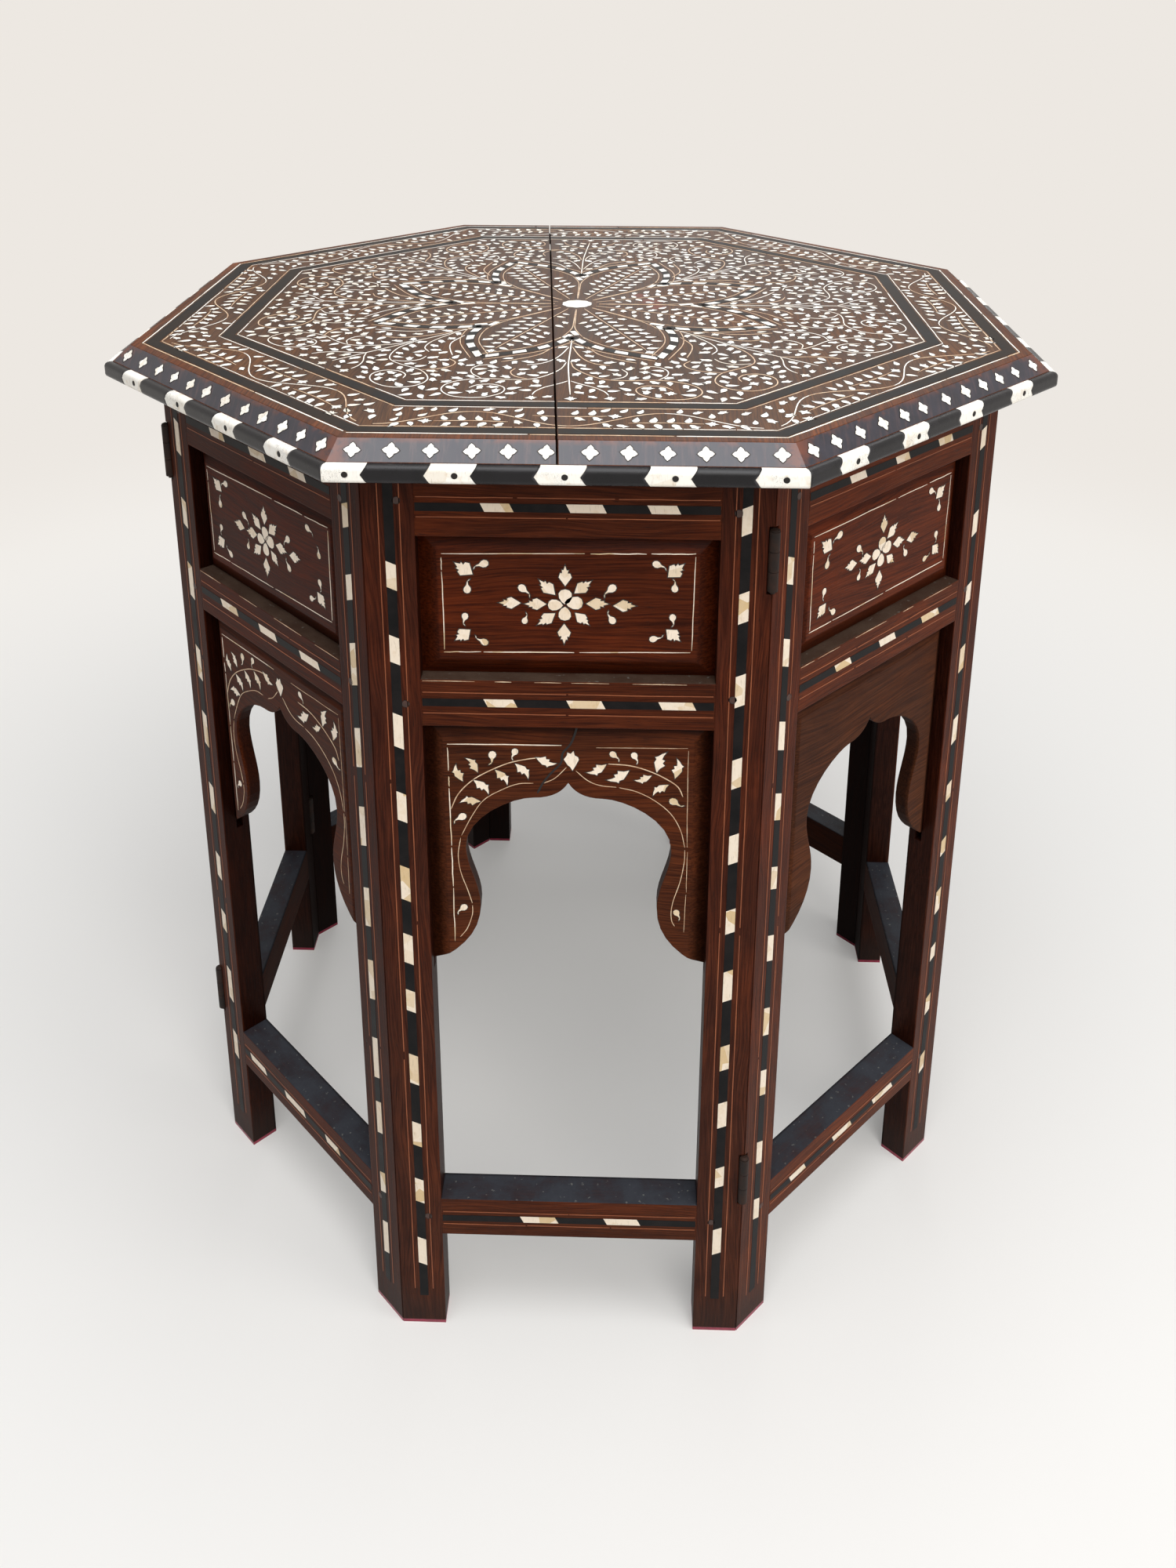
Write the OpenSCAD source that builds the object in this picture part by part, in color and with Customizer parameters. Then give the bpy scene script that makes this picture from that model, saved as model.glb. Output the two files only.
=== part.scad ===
// Octagonal side table: a loose top on a folding base of eight hinged frames.
// X runs to the right along the front, Y to the back and Z up.
// The origin is on the floor, under the middle of the table.
// Each frame is drawn in its own place: x along its outer face, y inwards from that face, z up.
// Frame 0 is the front one, and the others follow it counter-clockwise from above.

/* [Base] */
// Width of the base across its flat outer faces
base_w = 547; // [500:1:560]
// Height of the base from the floor, felt pads included
base_h = 628; // [600:1:700]
// Thickness of stiles and rails
frame_t = 20; // [18:0.5:24]
// Width of a stile on the outer face
stile_w = 29.3; // [27:0.1:36]
// Gap between the mitred edges of two frames
mitre_gap = 0.5; // [0.3:0.1:1]
// Thickness of the felt pad under a foot
felt_t = 2.5; // [1.5:0.5:5]

/* [Rails] */
// Height of the top rail
top_rail_h = 43; // [38:0.5:50]
// Height of the middle rail
middle_rail_h = 30; // [26:0.5:36]
// Underside of the middle rail above the floor
middle_rail_z = 466; // [430:1:480]
// Height of the bottom rail
bottom_rail_h = 30; // [20:0.5:40]
// Underside of the bottom rail above the floor
bottom_rail_z = 80; // [40:1:120]

/* [Joinery] */
// Length of a tenon
tenon_l = 12; // [9:0.5:13]
// Plain shoulder above and below a tenon
shoulder = 5; // [3:0.5:8]
// Width of the grooves and thickness of the tenons
groove_w = 5; // [4:0.5:6]
// Depth of the grooves that hold the panels
groove_d = 8; // [5:0.5:8]
// Outer face of a frame to its grooves
groove_y = 10; // [8:0.5:12]
// Clearance round tenons and panel tongues
fit_gap = 0.1; // [0.05:0.05:0.3]
// Room for a panel to swell in its groove
swell_gap = 0.8; // [0.5:0.1:1]

/* [Panels] */
// Outer face of a frame to the raised field of its panels
field_y = 5; // [3:0.5:7]
// Width of the sloped margin round a field
margin_w = 11; // [6:0.5:16]
// Underside of the middle rail down to the tip of the arch
arch_tip = 40; // [25:1:60]
// Underside of the middle rail down to the widest part of the arch
arch_lobe = 86; // [75:1:100]
// Wood left beside the widest part of the arch
lobe_wood = 22.5; // [12:0.5:28]
// Underside of the middle rail down to the waist of the arch
arch_waist = 127; // [118:1:140]
// Wood left beside the waist of the arch
waist_wood = 30.5; // [24:0.5:40]
// Underside of the middle rail down to the feet of the arch
arch_foot = 171; // [150:1:200]

/* [Hinges] */
// Length of a hinge
hinge_h = 36; // [30:1:44]
// Width of a hinge leaf
leaf_w = 14; // [12:0.5:16]
// Thickness of a hinge leaf
leaf_t = 1.6; // [1.2:0.1:2.2]
// Radius of a hinge knuckle
knuckle_r = 3; // [2.8:0.1:3.4]
// Radius of a hinge pin
pin_r = 1.5; // [1.2:0.1:1.8]
// Running clearance round a pin
pin_gap = 0.05; // [0.02:0.01:0.1]
// Clearance round and between knuckles
knuckle_gap = 0.3; // [0.2:0.05:0.4]
// Underside of the upper hinge below the top of the base
upper_hinge_drop = 73; // [60:1:120]
// Underside of the lower hinge above the floor
lower_hinge_z = 115; // [100:1:160]
// Length of a hinge screw
screw_l = 9; // [7:0.5:10]
// Radius of a hinge screw's shank
screw_r = 1.1; // [0.9:0.1:1.3]
// Radius of a hinge screw's head
screw_head_r = 2.1; // [1.9:0.1:2.4]

/* [Top] */
// How far the top stands out past the base all round
overhang = 31.5; // [20:0.5:45]
// Clearance between the top and the base that it rests on
seat_gap = 0.1; // [0.05:0.05:0.3]
// Thickness of the top boards
top_t = 20; // [18:0.5:26]
// Width of the bevel and the rim round the flat part of the top
bevel_w = 16; // [12:0.5:24]
// Width of the open seam between the boards
seam_gap = 1.2; // [0.4:0.1:2]
// Place of the seam at the front edge
seam_front = -4; // [-60:1:60]
// Place of the seam at the back edge
seam_back = -41; // [-60:1:60]

/* [Rim] */
// Depth of the rim blocks
rim_d = 5; // [3:0.5:7]
// Height of the rim blocks
rim_h = 10; // [8:0.5:12]
// Length of a bone block
bone_l = 24; // [16:1:32]
// Corner of the top to the middle of the last pin on a side of five bone blocks
rim_end = 12.3; // [10:0.1:20]
// Length of the point on a block's left end
block_tip = 4; // [2:0.5:6]
// Radius of the pins through the bone blocks
rim_pin_r = 1.7; // [1:0.1:2]
// Length of the pins through the bone blocks
rim_pin_l = 14; // [10:0.5:18]

/* [Battens] */
// Length of a batten
batten_l = 440; // [360:1:460]
// Width of a batten
batten_w = 46; // [30:1:60]
// Thickness of a batten, let in flush
batten_t = 8; // [6:0.5:9]
// Middle of the table to the middle of a batten
batten_y = 125; // [80:1:150]
// Distance between the screws in a batten
batten_screw_pitch = 128; // [100:1:130]
// Length of a batten screw
batten_screw_l = 15; // [11:0.5:16]
// Radius of a batten screw's shank
batten_screw_r = 1.9; // [1.5:0.1:2.2]
// Radius of a batten screw's head
batten_head_r = 3.9; // [3:0.1:4.4]

/* [Hidden] */
SIDES = ["front", "front_right", "right", "back_right", "back", "back_left", "left", "front_left"];
FRAME_PARTS = ["stiles", "rails", "upper_panel", "arch_panel", "hinge_leaves", "felt_pads"];
TOP_PARTS = ["top_board_left", "top_board_right", "top_battens", "batten_screws",
    "rim_ebony_blocks", "rim_bone_blocks", "rim_pins"];

wood = "#5a2a1c";
dark_wood = "#45221a";
ebony = "#1c1b1f";
bone = "#ece4cf";
iron = "#3a3433";
felt = "#8e2438";

turn = 45;
half_turn = turn / 2;
open_w = 2 * (side_at(0) - stile_w);
top_rail_z = base_h - top_rail_h;
upper_open_z = middle_rail_z + middle_rail_h;
groove_back = groove_y + groove_w;
// A tongue lies between the faces of its groove
tongue_front = groove_y + fit_gap;
tongue_back = groove_back - fit_gap;
panel_lip = groove_d - swell_gap;
top_w = base_w + 2 * overhang;
rim_in = top_w / 2 - rim_d;
bevel_in = top_w / 2 - bevel_w;
seat_z = base_h + seat_gap;
top_z = seat_z + top_t;
// The bone blocks of a side stand at even distances
bone_pitch = (side_at_rim() - rim_end) / 2;
hinge_zs = [lower_hinge_z, base_h - upper_hinge_drop];
knuckle_h = hinge_h / 3;
// The pin stands this far past the knuckles
pin_end = 1.4;
// The stopped grooves of the arch panel end a little below its tongues
groove_foot_z = middle_rail_z - arch_foot - groove_d;
// Height of the arch's pointed tip, and how far its curves run on straight from their ends
tip_h = 10.5;
tip_lead = 6;
lobe_lead = 22;
waist_lead = 15;
foot_lead = 24;
// Radius of the rim above and below
rim_high_r = rim_d * 3 / 5;
rim_low_r = rim_d - rim_high_r;
// The screws stand between the knuckle and the free edge of the leaf
screw_u = (knuckle_r + leaf_w) / 2;
screw_zs = [hinge_h / 6, hinge_h / 2, hinge_h * 5 / 6];
hair = 0.05;
over = 1;

// Half width of a frame at a depth y below its outer face
function side_at(y) = (base_w / 2 - y) * tan(half_turn);

// Half width of the top's edge
function side_at_rim() = top_w / 2 * tan(half_turn);

// Points of a cubic curve, its first point left out
function curve(a, b, c, d, steps = 8) = [
    for (i = [1:steps]) let (t = i / steps, s = 1 - t)
        s * s * s * a + 3 * s * s * t * b + 3 * s * t * t * c + t * t * t * d
];

// Right half of the arch, from its tip to its foot: x from the middle, z from the middle rail
function half_arch() = let (
    tip = [0, -arch_tip],
    neck = [(open_w / 2 - lobe_wood) / 3, -arch_tip - tip_h],
    lobe = [open_w / 2 - lobe_wood, -arch_lobe],
    waist = [open_w / 2 - waist_wood, -arch_waist],
    foot = [open_w / 2 + groove_d, -arch_foot - groove_d / 2]
) concat(
    [tip],
    curve(tip, tip + [tip_lead / 2, -tip_h / 2], neck - [2 * tip_lead, 0], neck),
    curve(neck, neck + [2 * tip_lead, 0], lobe + [0, lobe_lead], lobe),
    curve(lobe, lobe - [0, waist_lead], waist + [0, waist_lead], waist),
    curve(waist, waist - [0, lobe_lead], foot - [foot_lead, -foot_lead / 2], foot)
);

// Puts a child drawn in a frame's own place at side i of the base
module on_side(i) {
    rotate([0, 0, turn * i]) translate([0, -base_w / 2, 0]) children();
}

// Lays a flat shape drawn in y and z along x
module along_x(length) {
    rotate([90, 0, 90]) translate([0, 0, -length / 2]) linear_extrude(length) children();
}

// Gives a flat shape drawn in x and z its thickness, from y = from to y = to
module along_y(from, to) {
    translate([0, to, 0]) rotate([90, 0, 0]) linear_extrude(to - from) children();
}

// Both sides of a frame, with the child drawn on the right one
module both_sides() {
    children();
    mirror([1, 0, 0]) children();
}

// A hinge axis of a frame: x runs from the pin along the mitre, y into the stile.
// The pin is on the outer edge of the mitre, or on the inner one.
module at_corner(right, outer) {
    pin_y = outer ? 0 : frame_t;
    mirror([right ? 0 : 1, 0, 0])
        translate([side_at(pin_y), pin_y, 0])
            rotate([0, 0, 90 + half_turn])
                mirror([outer ? 0 : 1, 0, 0])
                    children();
}

// The four hinges of frame i. Its right pins are outside on even frames and inside on odd ones.
module at_hinges(i) {
    for (right = [true, false]) for (z = hinge_zs)
        at_corner(right, right == (i % 2 == 0)) translate([0, 0, z]) children();
}

// Cross-section of the right stile
module stile_section() {
    mitre = mitre_gap / 2 / cos(half_turn);
    polygon([
        [open_w / 2, 0],
        [side_at(0) - mitre, 0],
        [side_at(frame_t) - mitre, frame_t],
        [open_w / 2, frame_t]
    ]);
}

// A tenon on the right end of a rail, or its mortise where room is left round it
module tenon(z, height, room = 0) {
    translate([open_w / 2 - over, groove_y + fit_gap - room, z - room])
        cube([tenon_l + over + room, groove_w - 2 * fit_gap + 2 * room, height + 2 * room]);
}

// The three tenons of a frame's right side: the panel grooves take the inner shoulders
module rail_tenons(room = 0) {
    tenon(top_rail_z + groove_d, top_rail_h - groove_d - shoulder, room);
    tenon(middle_rail_z + groove_d, middle_rail_h - 2 * groove_d, room);
    tenon(bottom_rail_z + shoulder, bottom_rail_h - 2 * shoulder, room);
}

// A stopped groove for a panel. It runs past the rails' edges, up to their tenons.
module stile_groove(low_z, high_z) {
    translate([0, groove_y, low_z]) cube([open_w / 2 + groove_d, groove_w, high_z - low_z]);
}

// What the hinge leaf, the knuckles and the screws take out of a stile
module hinge_room() {
    translate([0, 0, -fit_gap])
        cube([leaf_w + fit_gap, mitre_gap / 2 + leaf_t + hair, hinge_h + 2 * fit_gap]);
    translate([0, 0, -pin_end - over])
        cylinder(r = knuckle_r + knuckle_gap, h = hinge_h + 2 * (pin_end + over), $fn = 32);
    for (z = screw_zs)
        translate([screw_u, 0, z])
            rotate([-90, 0, 0]) cylinder(r = screw_r + hair, h = screw_l + over, $fn = 16);
}

module stiles(i) {
    color(wood) difference() {
        both_sides() difference() {
            translate([0, 0, felt_t]) linear_extrude(base_h - felt_t) stile_section();
            rail_tenons(fit_gap);
            stile_groove(groove_foot_z, middle_rail_z + groove_d);
            stile_groove(upper_open_z - groove_d, top_rail_z + groove_d);
        }
        at_hinges(i) hinge_room();
    }
}

// A rail between the stiles, with a groove in its top or bottom edge where a panel enters it
module rail(z, height, groove_below, groove_above) {
    difference() {
        translate([hair - open_w / 2, 0, z]) cube([open_w - 2 * hair, frame_t, height]);
        if (groove_below)
            translate([-open_w, groove_y, z - over]) cube([2 * open_w, groove_w, groove_d + over]);
        if (groove_above)
            translate([-open_w, groove_y, z + height - groove_d])
                cube([2 * open_w, groove_w, groove_d + over]);
    }
}

module rails() {
    color(wood) {
        rail(top_rail_z, top_rail_h, true, false);
        rail(middle_rail_z, middle_rail_h, true, true);
        rail(bottom_rail_z, bottom_rail_h, false, false);
        both_sides() rail_tenons();
    }
}

// Outline of a fielded panel between two edges: how far across, then how deep below the outer face
function fielded(low, high, low_margin) = [
    [low - panel_lip, tongue_back],
    [low - panel_lip, low_margin ? tongue_front : field_y],
    [low, low_margin ? tongue_front : field_y],
    [low + margin_w, field_y],
    [high - margin_w, field_y],
    [high, tongue_front],
    [high + panel_lip, tongue_front],
    [high + panel_lip, tongue_back]
];

// A fielded panel between the stiles and two heights, as two crossing lengths of moulding
module fielded_panel(low_z, high_z, low_margin) {
    intersection() {
        linear_extrude(base_h) polygon(fielded(-open_w / 2, open_w / 2, true));
        along_x(2 * open_w) polygon([for (p = fielded(low_z, high_z, low_margin)) [p.y, p.x]]);
    }
}

module upper_panel() {
    color(dark_wood) fielded_panel(upper_open_z, top_rail_z, true);
}

module arch_panel() {
    right = half_arch();
    last = len(right) - 1;
    left = [for (k = [last:-1:1]) [-right[k].x, right[k].y]];
    below = [[open_w, right[last].y], [open_w, -middle_rail_z], [-open_w, -middle_rail_z], [-open_w, right[last].y]];
    color(dark_wood) difference() {
        fielded_panel(groove_foot_z, middle_rail_z, false);
        translate([0, 0, middle_rail_z]) along_y(0, frame_t) polygon(concat(left, right, below));
    }
}

// Knuckles of one leaf: the middle one on odd frames and the two outer ones on even frames
module knuckles(middle, radius, gap) {
    for (k = middle ? [1] : [0, 2])
        translate([0, 0, k * knuckle_h + gap]) cylinder(r = radius, h = knuckle_h - 2 * gap, $fn = 32);
}

// A countersunk screw with its head at z = 0
module screw(head_r, shank_r, length) {
    difference() {
        rotate_extrude($fn = 24) polygon([
            [0, 0],
            [head_r, 0],
            [shank_r, head_r - shank_r],
            [shank_r, length - shank_r],
            [0, length]
        ]);
        translate([-head_r - over, -head_r / 8, -over]) cube([2 * head_r + 2 * over, head_r / 4, over + head_r / 4]);
    }
}

// The hole for a screw through a plate, with its countersink
module screw_hole(head_r, shank_r, depth) {
    cylinder(r1 = head_r + hair, r2 = shank_r + hair, h = head_r - shank_r, $fn = 24);
    translate([0, 0, -over]) cylinder(r = shank_r + hair, h = depth + over, $fn = 24);
}

module hinge_leaf(middle) {
    difference() {
        union() {
            translate([0, mitre_gap / 2, 0]) cube([leaf_w, leaf_t, hinge_h]);
            knuckles(middle, knuckle_r, knuckle_gap / 2);
        }
        knuckles(!middle, knuckle_r + knuckle_gap, -knuckle_gap / 2);
        translate([0, 0, -over]) cylinder(r = pin_r + pin_gap, h = hinge_h + 2 * over, $fn = 32);
        at_hinge_screws() screw_hole(screw_head_r, screw_r, leaf_t + over);
    }
}

// The screws of a leaf stand on the mitre and point into the stile
module at_hinge_screws() {
    for (z = screw_zs)
        translate([screw_u, mitre_gap / 2, z]) rotate([-90, 0, 0]) children();
}

module hinge_leaves(i) {
    color(iron) at_hinges(i) {
        hinge_leaf(i % 2 == 1);
        at_hinge_screws() screw(screw_head_r, screw_r, screw_l);
    }
}

// A pin from below the bottom knuckle to a low head on the top one
module hinge_pins(i) {
    head_r = knuckle_r - knuckle_gap;
    color(iron) at_hinges(i) rotate_extrude($fn = 32) polygon([
        [0, -pin_end],
        [pin_r, -pin_end],
        [pin_r, hinge_h + hair],
        [head_r, hinge_h + hair],
        [head_r, hinge_h + pin_end / 2],
        [head_r / 2, hinge_h + pin_end],
        [0, hinge_h + pin_end]
    ]);
}

module felt_pads() {
    color(felt) both_sides() linear_extrude(felt_t) stile_section();
}

// A solid octagon across the top
module octagon(apothem, height) {
    rotate([0, 0, half_turn]) cylinder(r = apothem / cos(half_turn), h = height, $fn = 8);
}

// Both boards in one, with the bevel all round and the battens' pockets underneath
module top_blank() {
    run = rim_in - bevel_in;
    drop = top_t - rim_h;
    difference() {
        translate([0, 0, seat_z]) octagon(rim_in, top_t);
        for (i = [0:7]) rotate([0, 0, turn * i]) {
            along_x(top_w) polygon([
                [-bevel_in + run / 2, top_z + drop / 2],
                [-rim_in - run, seat_z + rim_h - drop],
                [-rim_in - run, top_z + drop / 2]
            ]);
            at_rim_pins(i) cylinder(r = rim_pin_r + hair, h = rim_pin_l + hair, $fn = 24);
        }
        at_battens() {
            translate([-batten_l / 2 - fit_gap, -batten_w / 2 - fit_gap, -over])
                cube([batten_l + 2 * fit_gap, batten_w + 2 * fit_gap, batten_t + over + hair]);
            at_batten_screws() cylinder(r = batten_screw_r + hair, h = batten_screw_l + hair, $fn = 24);
        }
    }
}

// One board: what lies left or right of the slanting seam
module top_board(right) {
    reach = right ? top_w : -top_w;
    edge = right ? seam_gap / 2 : -seam_gap / 2;
    color(wood) intersection() {
        top_blank();
        linear_extrude(top_z + over) polygon([
            [seam_front + edge, -top_w / 2],
            [seam_back + edge, top_w / 2],
            [reach, top_w / 2],
            [reach, -top_w / 2]
        ]);
    }
}

module at_battens() {
    for (y = [-batten_y, batten_y]) translate([0, y, seat_z]) children();
}

module at_batten_screws() {
    for (k = [-1.5:1.5]) translate([k * batten_screw_pitch, 0, 0]) children();
}

module top_battens() {
    color(wood) at_battens() difference() {
        translate([-batten_l / 2, -batten_w / 2, 0]) cube([batten_l, batten_w, batten_t]);
        at_batten_screws() screw_hole(batten_head_r, batten_screw_r, batten_t + over);
    }
}

module batten_screws() {
    color(iron) at_battens() at_batten_screws() screw(batten_head_r, batten_screw_r, batten_screw_l);
}

// Section of the rim in y and z, rounded above and below
module rim_section() {
    low = [rim_low_r - top_w / 2, seat_z + rim_low_r];
    high = [rim_high_r - top_w / 2, seat_z + rim_h - rim_high_r];
    polygon(concat(
        [[-rim_in - hair, seat_z + rim_h], [-rim_in - hair, seat_z]],
        [for (a = [270:-30:180]) low + rim_low_r * [cos(a), sin(a)]],
        [for (a = [180:-18:90]) high + rim_high_r * [cos(a), sin(a)]]
    ));
}

// A rim block from x = from to x = to: its left end is pointed and its right end notched to match
module rim_block(from, to) {
    intersection() {
        along_x(top_w) rim_section();
        translate([0, 0, seat_z]) along_y(-top_w, 0) polygon([
            [from + hair, -over],
            [from + hair - block_tip, rim_h / 2],
            [from + hair, rim_h + over],
            [to - hair, rim_h + over],
            [to - hair - block_tip, rim_h / 2],
            [to - hair, -over]
        ]);
        translate([0, -hair / sin(half_turn)]) linear_extrude(top_z) polygon([
            [0, 0],
            [-top_w * tan(half_turn), -top_w],
            [top_w * tan(half_turn), -top_w]
        ]);
    }
}

// The front, the back, the left and the right bear five bone blocks and the sides between them four,
// so that each corner has bone on one side and ebony on the other
function last_bone(i) = i % 2 == 0 ? 2 : 1.5;

// The last blocks of a side run on to the corners
module rim_blocks(of_bone) {
    corner = 2 * side_at_rim();
    for (i = [0:7]) rotate([0, 0, turn * i])
        if (of_bone) for (k = [-last_bone(i):last_bone(i)])
            rim_block(
                k == -2 ? -corner : k * bone_pitch - bone_l / 2,
                k == 2 ? corner : k * bone_pitch + bone_l / 2
            );
        else for (k = i % 2 == 0 ? [-2:1] : [-2.5:1.5])
            rim_block(
                k == -2.5 ? -corner : k * bone_pitch + bone_l / 2,
                k == 1.5 ? corner : (k + 1) * bone_pitch - bone_l / 2
            );
}

// Each pin stands in the middle of a bone block and points to the middle of the table
module at_rim_pins(i) {
    for (k = [-last_bone(i):last_bone(i)])
        translate([k * bone_pitch, -top_w / 2, seat_z + rim_h / 2]) rotate([-90, 0, 0]) children();
}

module rim_ebony_blocks() {
    color(ebony) rim_blocks(false);
}

module rim_bone_blocks() {
    color(bone) difference() {
        rim_blocks(true);
        for (i = [0:7]) rotate([0, 0, turn * i]) at_rim_pins(i)
            translate([0, 0, -over]) cylinder(r = rim_pin_r + hair, h = rim_d + 2 * over, $fn = 24);
    }
}

module rim_pins() {
    color(ebony) for (i = [0:7]) rotate([0, 0, turn * i]) at_rim_pins(i)
        cylinder(r = rim_pin_r, h = rim_pin_l, $fn = 24);
}

for (i = [0:7]) {
    on_side(i) stiles(i);
    on_side(i) rails();
    on_side(i) upper_panel();
    on_side(i) arch_panel();
    on_side(i) hinge_leaves(i);
    on_side(i) felt_pads();
}
for (i = [1:2:7])
    on_side(i) hinge_pins(i);
top_board(false);  // top_board_left
top_board(true);  // top_board_right
top_battens();
batten_screws();
rim_ebony_blocks();
rim_bone_blocks();
rim_pins();
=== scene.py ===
"""Octagonal side table: a loose inlaid top on eight hinged frames.

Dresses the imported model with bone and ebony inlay, woods and a studio.
"""

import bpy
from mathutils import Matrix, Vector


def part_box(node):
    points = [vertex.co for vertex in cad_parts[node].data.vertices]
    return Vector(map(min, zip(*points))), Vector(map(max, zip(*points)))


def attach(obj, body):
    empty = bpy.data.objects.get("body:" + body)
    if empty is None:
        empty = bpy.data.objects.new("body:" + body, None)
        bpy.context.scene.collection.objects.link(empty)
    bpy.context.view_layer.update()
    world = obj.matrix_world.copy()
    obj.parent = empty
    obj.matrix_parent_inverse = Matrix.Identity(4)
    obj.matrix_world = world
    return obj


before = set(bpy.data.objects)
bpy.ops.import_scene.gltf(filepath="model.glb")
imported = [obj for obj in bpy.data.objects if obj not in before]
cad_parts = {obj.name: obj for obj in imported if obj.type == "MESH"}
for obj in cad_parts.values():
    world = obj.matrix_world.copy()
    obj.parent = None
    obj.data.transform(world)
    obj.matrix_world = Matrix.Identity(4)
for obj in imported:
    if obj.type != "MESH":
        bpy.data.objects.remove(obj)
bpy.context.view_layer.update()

import math
import random

import bmesh
import bpy
from bpy.props import FloatProperty, FloatVectorProperty, PointerProperty
from mathutils import Matrix, Vector

bl_info = {
    "name": "Octagonal Side Table",
    "version": (1, 0, 0),
    "blender": (4, 5, 0),
    "location": "View3D > Sidebar > Table",
    "description": "Bone and ebony inlay, woods and studio for a folding octagonal side table",
    "category": "Object",
}

# Places are in millimetres here and in metres in Blender
MM = 0.001
TURN = math.radians(45)
HALF_TURN = TURN / 2
SLOPE = math.tan(HALF_TURN)
SIDES = ("front", "front_right", "right", "back_right", "back", "back_left", "left", "front_left")
PLAIN_ARCH_SIDE = 1
TOP_LOW, TOP_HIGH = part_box("top_board_left")
STILE_LOW, STILE_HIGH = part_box("front_stiles")
PANEL_LOW, PANEL_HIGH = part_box("front_upper_panel")
TOP_Z = TOP_HIGH.z / MM
FACE = -STILE_LOW.y / MM
FIELD_FACE = -PANEL_LOW.y / MM
RIM = -TOP_LOW.y / MM
SEAM_FRONT, SEAM_BACK = -4.0, -41.0
SEAM_LEAN = (SEAM_BACK - SEAM_FRONT) / (2 * RIM)
BEVEL_IN, BEVEL_OUT, BEVEL_DROP = 289.0, 300.0, 10.0
# The middle of the rosette, which isn't quite the middle of the top
CENTRE = (-4.3, -3.3)


def tint(red, green, blue):
    """A colour given as 0 to 255, as the shaders want it."""
    parts = (v / 255 for v in (red, green, blue))
    return tuple(c / 12.92 if c <= 0.04045 else ((c + 0.055) / 1.055) ** 2.4 for c in parts)


def scaled(base, red, green, blue):
    return base[0] * red, base[1] * green, base[2] * blue


# Sizes and colours that a user would change
def length(name, description, value):
    return FloatProperty(name=name, description=description, default=value * MM, min=0, unit="LENGTH", precision=5)


def colour(name, description, *shade):
    return FloatVectorProperty(
        name=name, description=description, default=tint(*shade), size=3, min=0, max=1, subtype="COLOR",
    )


class TABLE_PG_sizes(bpy.types.PropertyGroup):
    proud: length("Proud", "How far an inlaid piece stands above the wood", 0.12)
    sunk: length("Sunk", "How deep an inlaid piece is let in", 0.35)
    mastic: length("Mastic", "Dark filler showing round each piece of bone", 0.38)
    stile_band: length("Stile band", "Width of the chequered band on a stile", 5.6)
    rail_band: length("Rail band", "Width of the chequered band on a rail", 5.0)
    fine_line: length("Fine line", "Width of the thin lines beside the bands", 0.55)
    bone_line: length("Bone line", "Width of the bone stringing and stems", 0.8)
    top_band: length("Top band", "Width of the ebony bands of the top", 8.0)
    star_band: length("Star band", "Width of the chequered edge of a petal", 6.2)
    quatrefoil: length("Quatrefoil", "Breadth of a quatrefoil on the bevel", 9.4)


class TABLE_PG_colours(bpy.types.PropertyGroup):
    stile: colour("Stiles", "Wood of the stiles", 62, 28, 17)
    rail: colour("Rails", "Wood of the rails", 70, 31, 15)
    panel: colour("Panels", "Wood of the upper panels", 68, 28, 11)
    arch: colour("Arch panels", "Wood of the arch panels", 70, 34, 17)
    top: colour("Top", "Wood of the top boards", 84, 57, 39)
    bone: colour("Bone", "Clean bone", 248, 245, 236)
    aged: colour("Aged bone", "Yellowed bone", 208, 180, 134)
    mastic: colour("Mastic", "Filler round the bone", 20, 15, 12)
    line: colour("Fine lines", "Thin lines on stiles and rails", 128, 70, 42)
    iron: colour("Iron", "Hinges and screws", 30, 25, 23)
    felt: colour("Felt", "Pads under the feet", 150, 34, 62)
    floor: colour("Floor", "Floor close to the table", 250, 249, 246)
    far: colour("Backdrop", "Backdrop far behind", 237, 232, 226)


def sizes():
    return bpy.context.scene.table_sizes


# Helpers for modelling by operator
def let_go():
    if bpy.context.mode != "OBJECT":
        bpy.ops.object.mode_set(mode="OBJECT")
    bpy.ops.object.select_all(action="DESELECT")


def hold(*pieces):
    let_go()
    for piece in pieces:
        piece.select_set(True)
    bpy.context.view_layer.objects.active = pieces[0]


def new_piece(name, mesh):
    piece = bpy.data.objects.new(name, mesh)
    bpy.context.scene.collection.objects.link(piece)
    return piece


def raised(name, sheets, *finishes, lip=0.0):
    """Joins flat sheets that lie at the inlay's foot and extrudes them up to its face.

    A lip insets each face, so that the filler shows round it.
    """
    piece = join(name, sheets)
    piece.data.materials.clear()
    for finish in finishes:
        piece.data.materials.append(bpy.data.materials[finish])
    hold(piece)
    bpy.ops.object.mode_set(mode="EDIT")
    bpy.ops.mesh.select_mode(type="FACE")
    bpy.ops.mesh.select_all(action="SELECT")
    bpy.ops.mesh.extrude_region_move(TRANSFORM_OT_translate={"value": (0, 0, sizes().sunk + sizes().proud)})
    bpy.ops.mesh.select_all(action="SELECT")
    bpy.ops.mesh.normals_make_consistent(inside=False)
    bpy.ops.mesh.select_all(action="DESELECT")
    mesh = bmesh.from_edit_mesh(piece.data)
    for face in mesh.faces:
        face.select_set(face.normal.z > 0.5 and face.calc_center_median().z > 0)
    bmesh.update_edit_mesh(piece.data)
    if lip:
        bpy.ops.mesh.inset(thickness=lip, depth=0)
    bpy.ops.object.mode_set(mode="OBJECT")
    for face in piece.data.polygons:
        face.material_index = 1 if lip and face.select else 0
    return piece


BLANKS = {}


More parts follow.
